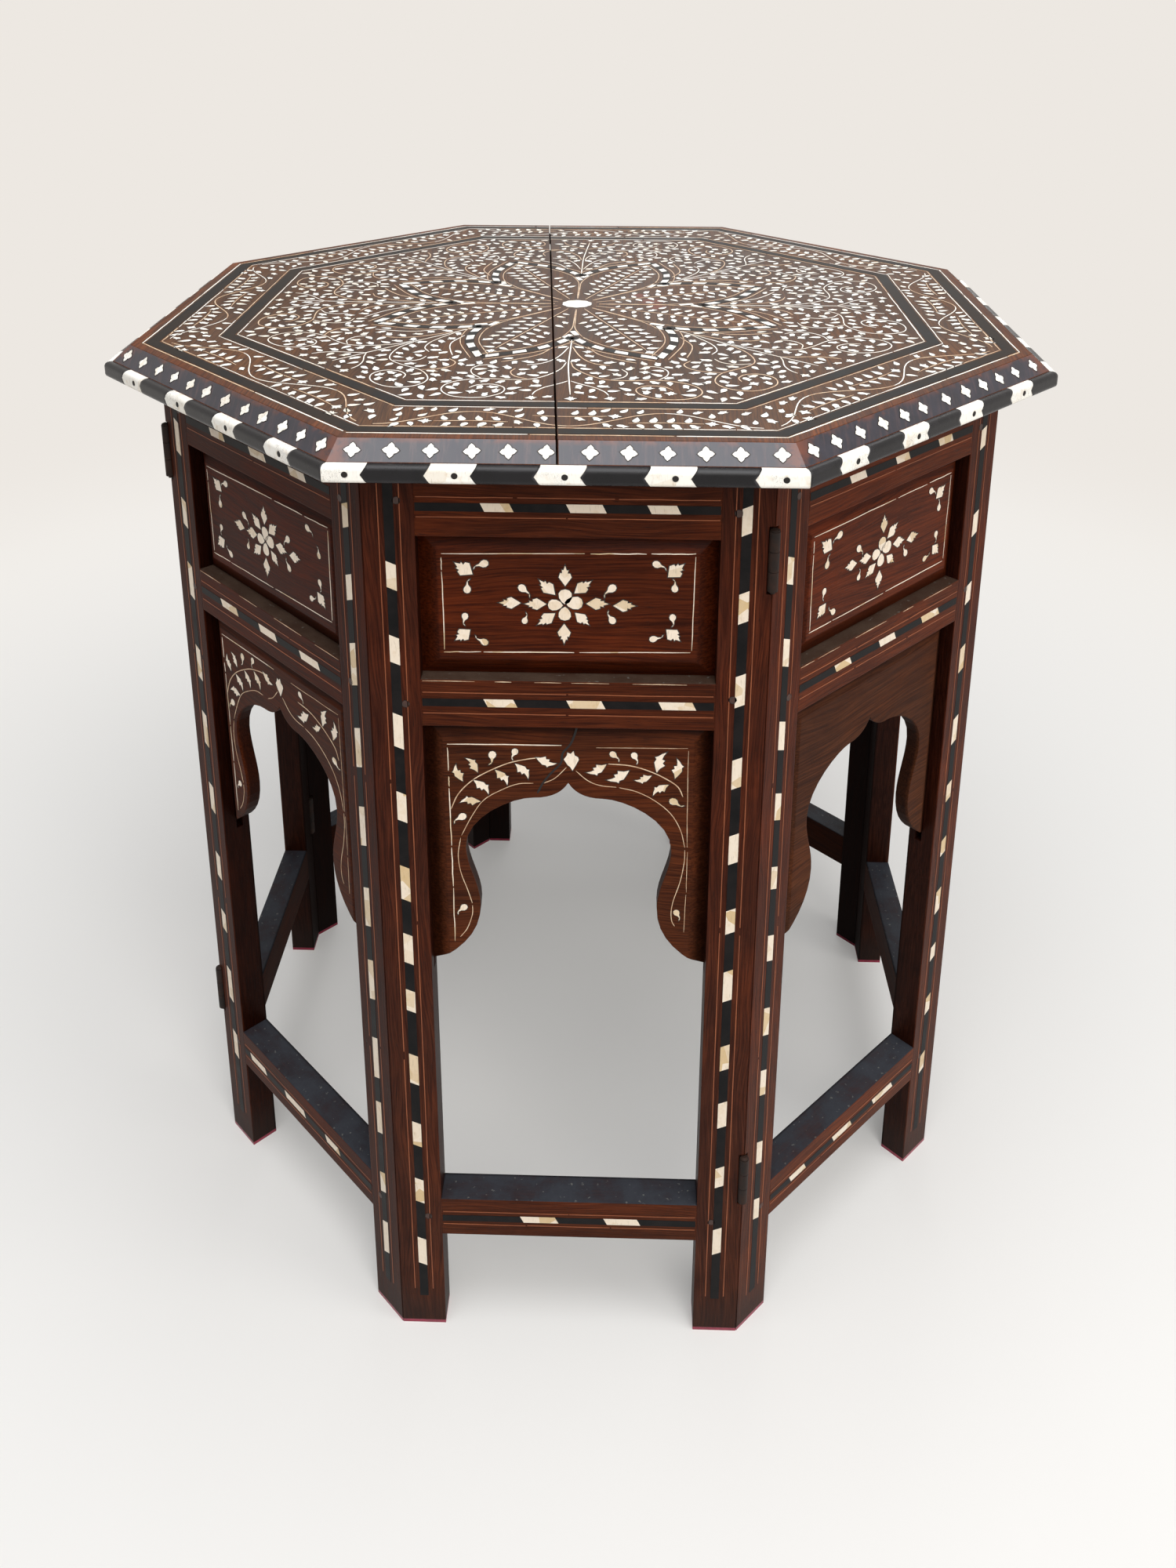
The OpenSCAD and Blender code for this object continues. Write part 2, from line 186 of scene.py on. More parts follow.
def blank_sheet(kind, count):
    """A copy of a flat blank: a face with so many corners, or a ribbon with so many steps, each added once."""
    if (kind, count) not in BLANKS:
        let_go()
        if kind == "plate":
            bpy.ops.mesh.primitive_circle_add(vertices=count, radius=1, fill_type="NGON")
        else:
            bpy.ops.mesh.primitive_grid_add(x_subdivisions=count - 1, y_subdivisions=1, size=2)
        first = bpy.context.object
        BLANKS[kind, count] = first.data
        bpy.data.objects.remove(first)
    return new_piece(kind, BLANKS[kind, count].copy())


def sheet(outline):
    """A flat face cut to an outline, lying at the inlay's foot."""
    piece = blank_sheet("plate", len(outline))
    for corner, (x, y) in zip(piece.data.vertices, outline, strict=True):
        corner.co = (x * MM, y * MM, -sizes().sunk)
    return piece


def ribbon(path, width, point=1.0):
    """A flat ribbon along a path, lying at the inlay's foot; point narrows its ends."""
    last = len(path) - 1
    piece = blank_sheet("ribbon", len(path))
    for corner in piece.data.vertices:
        at = round((corner.co.x + 1) / 2 * last)
        run = (Vector(path[min(at + 1, last)]) - Vector(path[max(at - 1, 0)])).normalized()
        side = math.copysign(width / 2, corner.co.y) * (point if at in (0, last) else 1)
        corner.co = ((path[at][0] - run.y * side) * MM, (path[at][1] + run.x * side) * MM, -sizes().sunk)
    return piece


def plate(name, outline, *finishes, lip=0.0):
    """A low plate cut to an outline, its face up."""
    return raised(name, [sheet(outline)], *finishes, lip=lip)


def inlaid(name, *groups):
    """One piece of inlay from groups of flat sheets, each (sheets, finishes, lip), and of plates already raised."""
    made = []
    for group in groups:
        if not isinstance(group, tuple):
            made.extend(group)
        elif group[0]:
            sheets, finishes, lip = group
            made.append(raised(name, sheets, *finishes, lip=lip))
    return join(name, made)


def copy_of(piece, x=0.0, y=0.0, turn=0.0, size=1.0):
    """A copy with its own mesh, laid at a place and turned in the plane."""
    mesh = piece.data.copy()
    scale = Matrix.Diagonal((size, size, 1, 1))
    mesh.transform(Matrix.Translation((x * MM, y * MM, 0)) @ Matrix.Rotation(turn, 4, "Z") @ scale)
    return new_piece(piece.name, mesh)


def join(name, pieces):
    whole = pieces[0]
    if len(pieces) > 1:
        hold(*pieces)
        bpy.ops.object.join()
        whole = bpy.context.object
    whole.name = name
    whole.data.name = name
    return whole


def drop(*pieces):
    for piece in pieces:
        bpy.data.objects.remove(piece)


def stand(piece, side, out):
    """Stands a flat piece up on the face of one side, so far out from the middle."""
    upright = Matrix.Rotation(math.radians(90), 4, "X")
    piece.data.transform(Matrix.Rotation(side * TURN, 4, "Z") @ Matrix.Translation((0, -out * MM, 0)) @ upright)
    return piece


def settle(piece, body):
    piece.data.update()
    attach(piece, body)
    return piece


def curve(points, steps=5):
    """Rounds a path through its points."""
    way = [Vector(p) for p in points]
    way = [2 * way[0] - way[1]] + way + [2 * way[-1] - way[-2]]
    out = []
    for a, b, c, d in zip(way, way[1:], way[2:], way[3:]):
        for k in range(steps):
            t = k / steps
            linear, square, cube = (c - a) * t, (2 * a - 5 * b + 4 * c - d) * t * t, (3 * b - a - 3 * c + d) * t ** 3
            out.append(tuple(0.5 * (2 * b + linear + square + cube)))
    return out + [tuple(points[-1])]


def mirrored(outline):
    return [(x, -y) for x, y in reversed(outline)]


def near_seam(x, y, room):
    """Whether a point is close to the open seam between the two boards."""
    return abs(x - (SEAM_FRONT + SEAM_LEAN * (y + RIM))) < room


def cut_at_seam(piece):
    """Cuts a piece of the top where the seam runs, so that nothing bridges it."""
    along = Vector((SEAM_BACK - SEAM_FRONT, 2 * RIM, 0)).normalized()
    across = Vector((along.y, -along.x, 0))
    middle = Vector(((SEAM_FRONT + SEAM_BACK) / 2 * MM, 0, 0))
    halves = []
    for keep_right, gap in ((False, -0.00075), (True, 0.00075)):
        half = copy_of(piece)
        hold(half)
        bpy.ops.object.mode_set(mode="EDIT")
        bpy.ops.mesh.select_all(action="SELECT")
        bpy.ops.mesh.bisect(
            plane_co=middle + across * gap, plane_no=across, use_fill=True,
            clear_inner=keep_right, clear_outer=not keep_right,
        )
        bpy.ops.object.mode_set(mode="OBJECT")
        halves.append(half)
    name = piece.name
    drop(piece)
    return join(name, halves)


# Outlines of the cut pieces, each anticlockwise with its tip towards +x
LEAVES = {
    "comma": [
        (-3.9, -0.4), (-3.2, -1.9), (-1.6, -2.5), (0.2, -2.2), (1.9, -1.1), (3.4, 0.6),
        (4.8, 3.0), (2.8, 2.2), (1.2, 2.2), (-0.8, 2.1), (-2.8, 1.5),
    ],
    "bird": [
        (-4.0, 0.2), (-2.9, -1.7), (-0.8, -2.4), (1.5, -1.6), (4.9, -1.2),
        (2.9, 0.5), (2.3, 3.0), (0.8, 1.9), (-1.2, 2.3), (-3.0, 1.6),
    ],
    "wing": [
        (-3.9, -0.8), (-1.9, -2.3), (0.5, -2.0), (3.0, -3.0), (2.5, -0.7),
        (4.9, 0.9), (2.3, 1.4), (0.4, 2.9), (-1.4, 1.6), (-3.4, 1.1),
    ],
}
DIAMOND = [
    (5.2, 0), (2.1, 1.3), (1.8, 4.0), (0.5, 3.0), (0, 5.2), (-1.6, 2.0),
    (-5.0, 0), (-2.0, -1.6), (0, -5.2), (0.9, -2.6), (2.4, -3.2), (2.2, -1.1),
]
LOZENGE = [
    (-6.6, 0), (-1.0, -3.9), (1.7, -3.0), (1.7, -1.9), (3.6, -2.4), (3.4, -1.2),
    (6.9, 0), (3.6, 1.2), (3.9, 2.2), (1.9, 2.1), (2.1, 2.9), (-1.0, 3.9),
]
DROP = [
    (-4.9, 0), (-4.2, -1.7), (-2.4, -2.5), (-0.6, -2.2), (0.9, -0.9), (2.6, -0.5), (3.7, -1.6),
    (5.2, -1.9), (3.9, 0.1), (2.2, 0.9), (0.6, 1.1), (-1.0, 2.2), (-2.7, 2.5), (-4.3, 1.6),
]
BARBED = [
    (-6.2, 1.2), (-3.4, -0.5), (-1.5, -2.9), (-0.3, -1.7), (1.3, -2.7), (1.9, -1.3), (3.6, -1.9), (6.3, -3.5),
    (4.9, -0.5), (3.5, 1.3), (3.0, 2.9), (1.6, 2.2), (0.0, 3.0), (-2.2, 2.5), (-4.0, 2.0),
]
PETAL = [
    (-5.0, 0.2), (-3.4, -2.4), (-0.6, -4.0), (2.4, -4.1), (4.4, -2.6),
    (5.2, 0), (4.4, 2.7), (2.2, 4.2), (-0.8, 3.9), (-3.6, 2.2),
]
APEX = [
    (-4.9, 0.4), (-2.6, -3.6), (-1.0, -5.0), (0.6, -7.9), (2.4, -4.6), (4.7, 0.2),
    (4.2, 2.2), (2.2, 3.4), (1.4, 6.8), (-0.6, 4.6), (-2.6, 5.6), (-3.0, 3.2),
]


def quatrefoil(breadth):
    """A diamond notched in the middle of each edge."""
    r = breadth / 2
    quarter = [(r, 0), (r * 0.67, r * 0.35), (r * 0.44, r * 0.44), (r * 0.35, r * 0.67)]
    return [(x * c - y * s, x * s + y * c) for c, s in ((1, 0), (0, 1), (-1, 0), (0, -1)) for x, y in quarter]


class Web:
    """Short ways to write a node tree; a value that is a socket is linked, any other is set."""

    def __init__(self, tree):
        self.tree = tree
        tree.nodes.clear()

    def feed(self, socket, given):
        if isinstance(given, bpy.types.NodeSocket):
            self.tree.links.new(given, socket)
        elif given is not None:
            socket.default_value = (*given, 1) if socket.type == "RGBA" and len(given) == 3 else given

    def node(self, kind, inputs=(), **settings):
        """Adds a node, its inputs given in order or by name or number."""
        made = self.tree.nodes.new("ShaderNode" + kind)
        for key, given in settings.items():
            setattr(made, key, given)
        for key, given in inputs.items() if isinstance(inputs, dict) else enumerate(inputs):
            self.feed(made.inputs[key], given)
        return made

    def out(self, kind, inputs=(), output=0, **settings):
        return self.node(kind, inputs, **settings).outputs[output]

    def math(self, operation, *inputs, clamp=False):
        return self.out("Math", inputs, operation=operation, use_clamp=clamp)

    def times(self, a, b, clamp=False):
        return self.math("MULTIPLY", a, b, clamp=clamp)

    def plus(self, a, b, clamp=False):
        return self.math("ADD", a, b, clamp=clamp)

    def most(self, a, b):
        return self.math("MAXIMUM", a, b)

    def off(self, a, b=0.0):
        """How far a value is from another, either way."""
        return self.math("ABSOLUTE", self.math("SUBTRACT", a, b))

    def vector(self, operation, *inputs, output=0):
        return self.out("VectorMath", inputs, output, operation=operation)

    def split(self, vector):
        return self.node("SeparateXYZ", (vector,)).outputs

    def merge(self, x, y, z):
        return self.out("CombineXYZ", (x, y, z))

    def stretched(self, vector, x, y, z):
        return self.vector("MULTIPLY", vector, (x, y, z))

    def blend(self, factor, a, b, kind="MIX"):
        return self.out("Mix", {0: factor, 6: a, 7: b}, 2, data_type="RGBA", blend_type=kind, clamp_factor=True)

    def toned(self, base, tone):
        return self.blend(1.0, base, tone, "MULTIPLY")

    def tinged(self, factor, base, tone):
        """The colour, multiplied by the tone as far as the factor says."""
        return self.blend(factor, base, self.toned(base, tone))

    def span(self, given, low, high, out_low=0.0, out_high=1.0):
        """Stretches a value from one range to another, smoothly and held at its ends."""
        return self.out("MapRange", (given, low, high, out_low, out_high), interpolation_type="SMOOTHSTEP")

    def noise(self, vector, scale, detail=4.0, rough=0.6, warp=0.0):
        look = {"Vector": vector, "Scale": scale, "Detail": detail, "Roughness": rough, "Distortion": warp}
        return self.out("TexNoise", look)

    def patches(self, vector, scale, low, high, *ends):
        return self.span(self.noise(vector, scale), low, high, *ends)

    def bump(self, height, distance, strength, base=None):
        return self.out("Bump", {"Height": height, "Distance": distance, "Strength": strength, "Normal": base})

    def use(self, group, **inputs):
        return self.node("Group", inputs, node_tree=bpy.data.node_groups[group]).outputs

    def seen(self):
        """1 for what the camera sees by itself or in a gloss, 0 for what only lights."""
        way = self.node("LightPath").outputs
        return self.most(self.most(way["Is Camera Ray"], way["Is Glossy Ray"]), way["Is Transmission Ray"])


class Finish(Web):
    """A material, shaded from the place on its object."""

    def __init__(self, name):
        self.finish = bpy.data.materials.new(name)
        self.finish.use_nodes = True
        super().__init__(self.finish.node_tree)
        self.place = self.out("TexCoord", output="Object")

    def shown(self, surface):
        self.node("OutputMaterial", {"Surface": surface})
        return self.finish

    def shaded(self, color, rough, specular, normal, more=None):
        inputs = {"Base Color": color, "Roughness": rough, "Specular IOR Level": specular, "Normal": normal}
        return self.shown(self.out("BsdfPrincipled", {**inputs, **(more or {})}))

    def octagon(self):
        """How far out a point is on its own side's axis, and on the next side's."""
        x, y, z = self.split(self.place)
        x, y = self.off(x), self.off(y)
        straight, slant = self.most(x, y), self.times(self.plus(x, y), math.sqrt(0.5))
        return self.most(straight, slant), self.math("MINIMUM", straight, slant)


# Stage: (name, place, aim, breadth, power, colour) of each lamp
LAMPS = (
    ("lamp_overhead", (0.05, -0.8, 2.4), (0, -0.1, 0.4), 2.3, 50, (0.96, 0.97, 1.0)),
    ("lamp_front", (0.8, -2.2, 1.9), (0, 0, 0.35), 1.6, 24, (1.0, 0.98, 0.95)),
    ("lamp_right", (2.3, -1.0, 1.3), (0, 0, 0.35), 1.4, 14, (1.0, 0.98, 0.95)),
    ("lamp_behind", (0.2, 2.5, 1.9), (0, 0, 0.4), 1.8, 12, (0.96, 0.98, 1.0)),
)
# The camera, as fitted to the photograph
CAMERA_PLACE = (0.0293, -0.9544, 0.8913)
CAMERA_YAW, CAMERA_PITCH, CAMERA_ROLL = (math.radians(a) for a in (-1.534, 18.05, 0.17))
CAMERA_LENS, CAMERA_SENSOR, CAMERA_SHIFT = 31.14, 36, -0.25
FLOOR_RADIUS, FLOOR_INSET = 30, 26


class TABLE_OT_stage(bpy.types.Operator):
    """Lays the pale floor, hangs the soft lamps and sets the camera"""
    bl_idname = "table.stage"
    bl_label = "Floor, Lamps and Camera"

    def execute(self, context):
        scene, paint = context.scene, context.scene.table_colours
        let_go()
        bpy.ops.mesh.primitive_circle_add(vertices=96, radius=FLOOR_RADIUS, fill_type="NGON")
        floor = context.object
        floor.name = "studio_floor"
        bpy.ops.object.mode_set(mode="EDIT")
        bpy.ops.mesh.select_all(action="SELECT")
        bpy.ops.mesh.inset(thickness=FLOOR_INSET)
        bpy.ops.object.mode_set(mode="OBJECT")
        floor.data.materials.append(floor_finish(paint))
        scene.world = bpy.data.worlds.new("studio_world")
        scene.world.use_nodes = True
        web = Web(scene.world.node_tree)
        lit, shown = web.out("Background", ((0.96, 0.97, 1.0), 0.24)), web.out("Background", (paint.far, 1.0))
        web.node("OutputWorld", {"Surface": web.out("MixShader", (web.seen(), lit, shown))})
        for name, place, aim, breadth, power, shade in LAMPS:
            bpy.ops.object.light_add(type="AREA", location=place)
            lamp = context.object
            lamp.name = name
            lamp.data.shape = "DISK"
            lamp.data.size = breadth
            lamp.data.energy = power
            lamp.data.color = shade
            lamp.rotation_euler = (Vector(aim) - Vector(place)).to_track_quat("-Z", "Y").to_euler()
        yaw, pitch, roll = CAMERA_YAW, CAMERA_PITCH, CAMERA_ROLL
        ahead = Vector((math.sin(yaw) * math.cos(pitch), math.cos(yaw) * math.cos(pitch), -math.sin(pitch)))
        right = Vector((math.cos(yaw), -math.sin(yaw), 0))
        up = right.cross(ahead)
        right, up = right * math.cos(roll) + up * math.sin(roll), up * math.cos(roll) - right * math.sin(roll)
        bpy.ops.object.camera_add(location=CAMERA_PLACE)
        camera = context.object
        camera.name = "camera"
        camera.rotation_euler = Matrix((right, up, -ahead)).transposed().to_euler()
        camera.data.sensor_width = CAMERA_SENSOR
        camera.data.lens = CAMERA_LENS
        camera.data.shift_y = CAMERA_SHIFT
        scene.camera = camera
        scene.view_settings.view_transform = "Standard"
        return {"FINISHED"}


def floor_finish(paint):
    """Pale floor that keeps the shadow and runs out into the backdrop's colour."""
    web = Finish("studio_floor")
    reach = web.vector("LENGTH", web.place, output="Value")
    shown = web.blend(web.span(reach, 0.5, 1.8), paint.floor, paint.far)
    matt = web.out("BsdfDiffuse", (web.toned(shown, (0.86, 0.85, 0.84)),))
    glow = web.out("Emission", (shown,))
    part = web.times(web.seen(), web.span(reach, 0.38, 1.35, 0.22, 1.0))
    return web.shown(web.out("MixShader", (part, matt, glow)))


# Shared effects, each built as a node group and giving its outputs by name
def frame_place(web, takes):
    """Turns a point of any frame to where it would be on the front one."""
    turn = web.times(takes["Side"], -TURN)
    place = web.out("TexCoord", output="Object")
    point = web.out("VectorRotate", {"Vector": place, "Angle": turn}, rotation_type="Z_AXIS")
    x, y, z = web.split(point)
    return {"Point": point, "Along": x, "Out": web.times(y, -1.0), "Height": z}


def wood_grain(web, takes):
    """Rosewood grain running along the vector's Z."""
    def drawn(squeeze, *look):
        return web.noise(web.stretched(point, 1, 1, squeeze), *look)
    shift, wood = takes["Shift"], takes["Wood"]
    point = web.vector("ADD", takes["Point"], web.merge(shift, shift, shift))
    swing = web.times(web.math("SUBTRACT", drawn(0.35, 14, 2.0, 0.5), 0.5), 0.035)
    point = web.vector("ADD", point, web.merge(swing, 0.0, 0.0))
    bands, fibres = drawn(0.09, 130, 4.0, 0.6, 0.5), drawn(0.03, 900, 4.0, 0.65)
    pores, blotch = drawn(0.06, 2100, 2.0, 0.5), drawn(0.5, 24, 4.0, 0.55)
    dark, pale = web.toned(wood, (0.48, 0.43, 0.42)), web.toned(wood, (1.48, 1.48, 1.36))
    streak = web.times(web.span(bands, 0.38, 0.72), takes["Figure"])
    ticks = web.span(pores, 0.62, 0.72)
    body = web.blend(web.span(fibres, 0.3, 0.7), dark, pale)
    body = web.blend(web.times(streak, 0.6), body, dark)
    body = web.tinged(web.span(blotch, 0.42, 0.72, 0.0, 0.7), body, (1.6, 1.36, 1.0))
    body = web.blend(web.times(ticks, 0.6), body, (0.012, 0.006, 0.004))
    height = web.math("SUBTRACT", web.times(fibres, 0.5), ticks)
    return {"Color": body, "Height": height, "Rough": web.plus(web.times(blotch, 0.22), web.times(fibres, 0.14))}


def edge_wear(web, takes):
    """Rubbed edges: a mask where the rounded normal leaves the flat one."""
    soft = web.out("Bevel", {"Radius": takes["Radius"]}, samples=4)
    level = web.vector("DOT_PRODUCT", soft, web.out("NewGeometry", output="Normal"), output="Value")
    rub = web.patches(takes["Point"], 60, 0.36, 0.62)
    return {"Worn": web.times(web.span(level, 0.995, 0.86), rub), "Normal": soft}


def bone_grain(web, takes):
    """Bone: hairline pores, clean or yellowed from piece to piece."""
    point = takes["Point"]
    cell = web.out("SeparateColor", (web.out("TexVoronoi", {"Vector": point, "Scale": 75.0}, "Color"),))
    cloud = web.noise(point, 240, 3.0, 0.5)
    lines = web.span(web.noise(web.stretched(point, 1.0, 0.12, 0.12), 1500, 3.0), 0.56, 0.72)
    yellowed = web.times(web.span(cell, 0.55, 1.0), takes["Age"])
    old = web.plus(yellowed, web.times(web.span(cloud, 0.5, 0.8), 0.35), clamp=True)
    body = web.blend(old, takes["Clean"], takes["Aged"])
    body = web.blend(web.times(lines, 0.34), body, (0.32, 0.24, 0.13))
    return {"Color": body, "Height": web.times(lines, -1.0), "Rough": web.plus(web.times(cloud, 0.3), 0.22)}


def settled_dust(web, takes):
    """Settled grey on faces that look up, with pale specks: part real dusting, part painted reflection of the sky."""
    point = takes["Point"]
    up = web.split(web.out("NewGeometry", output="Normal"))["Z"]
    patch = web.noise(point, 48, 5.0, 0.65)
    specks = web.span(web.noise(point, 310, 2.0, 0.5), 0.66, 0.74)
    flat = web.times(web.span(up, 0.6, 0.9), takes["Amount"])
    dust_and_sky_mask = web.times(flat, web.span(patch, 0.2, 0.6, 0.72, 1.0), clamp=True)
    # low faces, such as the lowest rails, take a blue-grey that is partly painted sky reflection; higher ones a browner
    # grey
    high = web.span(web.split(point)["Z"], 0.25, 0.35)
    dark, pale = web.blend(high, tint(30, 31, 36), tint(38, 26, 20)), web.blend(high, tint(70, 72, 78), tint(92, 74, 62))
    grey = web.blend(web.times(specks, 0.5), web.blend(patch, dark, pale), tint(128, 128, 122))
    return {"Color": web.blend(dust_and_sky_mask, takes["Color"], grey)}


# The inputs of each shared effect: None stands for a vector
EFFECTS = (
    (frame_place, {"Side": 0.0}),
    (wood_grain, {"Point": None, "Wood": (0.1, 0.04, 0.02, 1), "Figure": 0.6, "Shift": 0.0}),
    (edge_wear, {"Point": None, "Radius": 0.0012}),
    (bone_grain, {"Point": None, "Clean": (0.9, 0.87, 0.78, 1), "Aged": (0.75, 0.6, 0.35, 1), "Age": 0.3}),
    (settled_dust, {"Point": None, "Color": (0, 0, 0, 1), "Amount": 1.0}),
)


def build_group(build, takes):
    tree = bpy.data.node_groups.new(build.__name__, "ShaderNodeTree")

    def socket(label, way, kind):
        return tree.interface.new_socket(label, in_out=way, socket_type="NodeSocket" + kind)
    for label, start in takes.items():
        made = socket(label, "INPUT", {float: "Float", tuple: "Color"}.get(type(start), "Vector"))
        if start is not None:
            made.default_value = start
    web = Web(tree)
    gives = build(web, tree.nodes.new("NodeGroupInput").outputs)
    for label, given in gives.items():
        socket(label, "OUTPUT", {"VALUE": "Float", "RGBA": "Color", "VECTOR": "Vector"}[given.type])
    last = tree.nodes.new("NodeGroupOutput").inputs
    for label, given in gives.items():
        web.feed(last[label], given)


# Depths, in metres from the middle, where a frame's sunk edges, arch and inner faces begin and end; the wood past them
# is darkened, as painted shade in the sunk edges and arch, and as unwaxed wood and painted shade on the inner faces
STILE_RECESS_SHADE, ARCH_RECESS_SHADE, INNER_FACE = (0.2731, 0.2722), (0.2680, 0.2655), (0.2555, 0.2537)
PANEL_MIDDLE = 0.5415


def frame_wood(kind, side, wood, level, figure, dust_and_sky=0.0, gloss=0.34, field=False, scuffed=0.0, recess_shade=None):
    """Waxed rosewood for one side's frame, its grain upright or level; painted shade darkens the wood sunk behind its
    face.
    """
    web = Finish(f"{kind}_wood_{SIDES[side]}")
    spot = web.use("frame_place", Side=float(side))
    point = spot["Point"]
    if level:
        x, y, z = web.split(point)
        point = web.merge(z, y, x)
    grain = web.use("wood_grain", Point=point, Wood=wood, Figure=figure, Shift=side * 3.7 + (1.3 if level else 0))
    worn = web.use("edge_wear", Point=spot["Point"])
    body = grain["Color"]
    if field:
        # the raised field is rubbed redder, and painted shade darkens the sunk border round it
        in_x = web.span(web.off(spot["Along"]), 0.0715, 0.0745)
        in_z = web.span(web.off(spot["Height"], PANEL_MIDDLE), 0.0335, 0.0365)
        body = web.tinged(web.times(web.most(in_x, in_z), 0.62), body, (0.40, 0.34, 0.30))
    if scuffed:
        body = web.tinged(web.times(web.span(spot["Height"], 0.48, 0.05), scuffed), body, (1.12, 1.36, 1.45))
    body = web.tinged(web.patches(spot["Point"], 26, 0.5, 0.78, 0.0, 0.6), body, (0.5, 0.45, 0.42))
    body = web.blend(web.times(worn["Worn"], 0.5), body, web.toned(wood, (1.9, 1.55, 1.25)))
    # dusting on faces that look up, its blue-grey partly a painted sky reflection
    if dust_and_sky:
        body = web.use("settled_dust", Point=spot["Point"], Color=body, Amount=dust_and_sky)["Color"]
    # painted shade on the faces sunk behind the stile's face or in the arch
    if recess_shade:
        body = web.tinged(web.times(web.span(spot["Out"], *recess_shade), 0.88), body, (0.28, 0.26, 0.28))
    # grimy feet, and inner faces darkened as wood that was never waxed and as painted shade
    body = web.blend(web.times(web.span(spot["Height"], 0.045, 0.006), 0.55), body, tint(42, 34, 31))
    inner_stain_and_shade = web.span(spot["Out"], *INNER_FACE)
    body = web.tinged(web.times(inner_stain_and_shade, 0.85), body, (0.22, 0.2, 0.2))
    rough = web.plus(web.plus(grain["Rough"], gloss - 0.1, clamp=True), web.times(inner_stain_and_shade, 0.3), clamp=True)
    return web.shaded(body, rough, 0.06, web.bump(grain["Height"], 0.00012, 0.55, worn["Normal"]))


# Two reddish rubbed spots right of the rosette, where leaves are lost: (x, y, radius) in metres
RUBBED_SPOTS = ((0.0405, 0.023, 0.009), (0.0535, -0.010, 0.010), (0.050, 0.006, 0.012))


def top_wood(paint):
    """The boards: brown inlaid field, redder margin, and an underside darkened as painted shade."""
    web = Finish("top_wood")
    place = web.place
    x, y, z = web.split(place)
    grain = web.use("wood_grain", Point=web.merge(x, z, y), Wood=paint.top, Figure=0.8, Shift=2.1)
    reach = web.octagon()[0]
    body = web.tinged(web.patches(place, 11, 0.35, 0.7, 0.0, 0.7), grain["Color"], (0.62, 0.66, 0.7))
    # dark filler rubbed into the ground of the inlaid field
    body = web.tinged(web.times(web.span(reach, 0.2275, 0.2255), 0.34), body, (0.5, 0.52, 0.56))
    for sx, sy, size in RUBBED_SPOTS:
        away = web.vector("DISTANCE", place, (sx, sy, TOP_Z * MM), output="Value")
        body = web.blend(web.span(away, size, size * 0.35, 0.0, 0.75), body, tint(112, 58, 44))
    body = web.tinged(web.span(reach, 0.2825, 0.2845), body, (1.15, 0.84, 0.74))
    # the seam's edges are bruised and dark
    away = web.off(x, web.math("MULTIPLY_ADD", y, SEAM_LEAN, (SEAM_FRONT + SEAM_BACK) / 2 * MM))
    bruise = web.times(web.span(away, 0.0065, 0.0008), web.patches(place, 120, 0.35, 0.6))
    body = web.blend(web.times(bruise, 0.6), body, tint(58, 38, 32))
    # painted shade: the edges and underside below the top's face are darkened
    body = web.tinged(web.times(web.span(z, 0.6290, 0.6283), 0.7), body, (0.3, 0.28, 0.28))
    worn = web.use("edge_wear", Point=place, Radius=0.0009)
    normal = web.bump(grain["Height"], 0.00010, 0.5, worn["Normal"])
    return web.shaded(body, web.plus(grain["Rough"], 0.30, clamp=True), 0.07, normal)


def bevel_finish():
    """Ebony veneer of the bevel: glossy black, rubbed brown at its corners and along its upper edge."""
    web = Finish("bevel_ebony")
    place = web.place
    reach, second = web.octagon()
    hip = web.times(web.span(web.math("SUBTRACT", reach, second), 0.013, 0.0), web.patches(place, 70, 0.38, 0.56))
    lip = web.times(web.span(reach, 0.2922, 0.2888), web.patches(place, 95, 0.42, 0.62))
    cloud = web.noise(place, 90)
    streaks = web.patches(web.stretched(place, 1, 0.12, 0.12), 420, 0.45, 0.75)
    body = web.blend(cloud, tint(14, 14, 22), tint(44, 42, 54))
    body = web.blend(web.times(streaks, 0.5), body, tint(84, 62, 62))
    body = web.blend(web.most(web.times(hip, 0.85), web.times(lip, 0.8)), body, tint(104, 54, 34))
    normal = web.bump(web.noise(place, 320, 4.0, 0.5), 0.00008, 0.5)
    return web.shaded(body, web.math("MULTIPLY_ADD", cloud, 0.3, 0.2), 0.62, normal)


def bone_finish(name, paint, age, tone=(1, 1, 1), cracked=False):
    """Bone, whiter or yellower by its tone; the rim's blocks are cracked and dirty along their edges."""
    web = Finish(name)
    place = web.place
    grain = web.use("bone_grain", Point=place, Clean=scaled(paint.bone, *tone), Aged=paint.aged, Age=age)
    body = grain["Color"]
    if cracked:
        sway = web.out("TexNoise", {"Vector": place, "Scale": 90.0}, "Color")
        bent = web.vector("MULTIPLY_ADD", place, sway, (0.01, 0.01, 0.01))
        gap = web.out("TexVoronoi", {"Vector": bent, "Scale": 75.0}, "Distance", feature="DISTANCE_TO_EDGE")
        some = web.span(web.noise(place, 45, 2.0, 0.5), 0.5, 0.58)
        body = web.blend(web.times(web.span(gap, 0.035, 0.005), web.times(some, 0.8)), body, tint(48, 34, 24))
        worn = web.use("edge_wear", Point=place, Radius=0.0012)
        body = web.blend(web.times(worn["Worn"], 0.35), body, tint(120, 96, 70))
    return web.shaded(body, grain["Rough"], 0.45, web.bump(grain["Height"], 0.00004, 0.4))


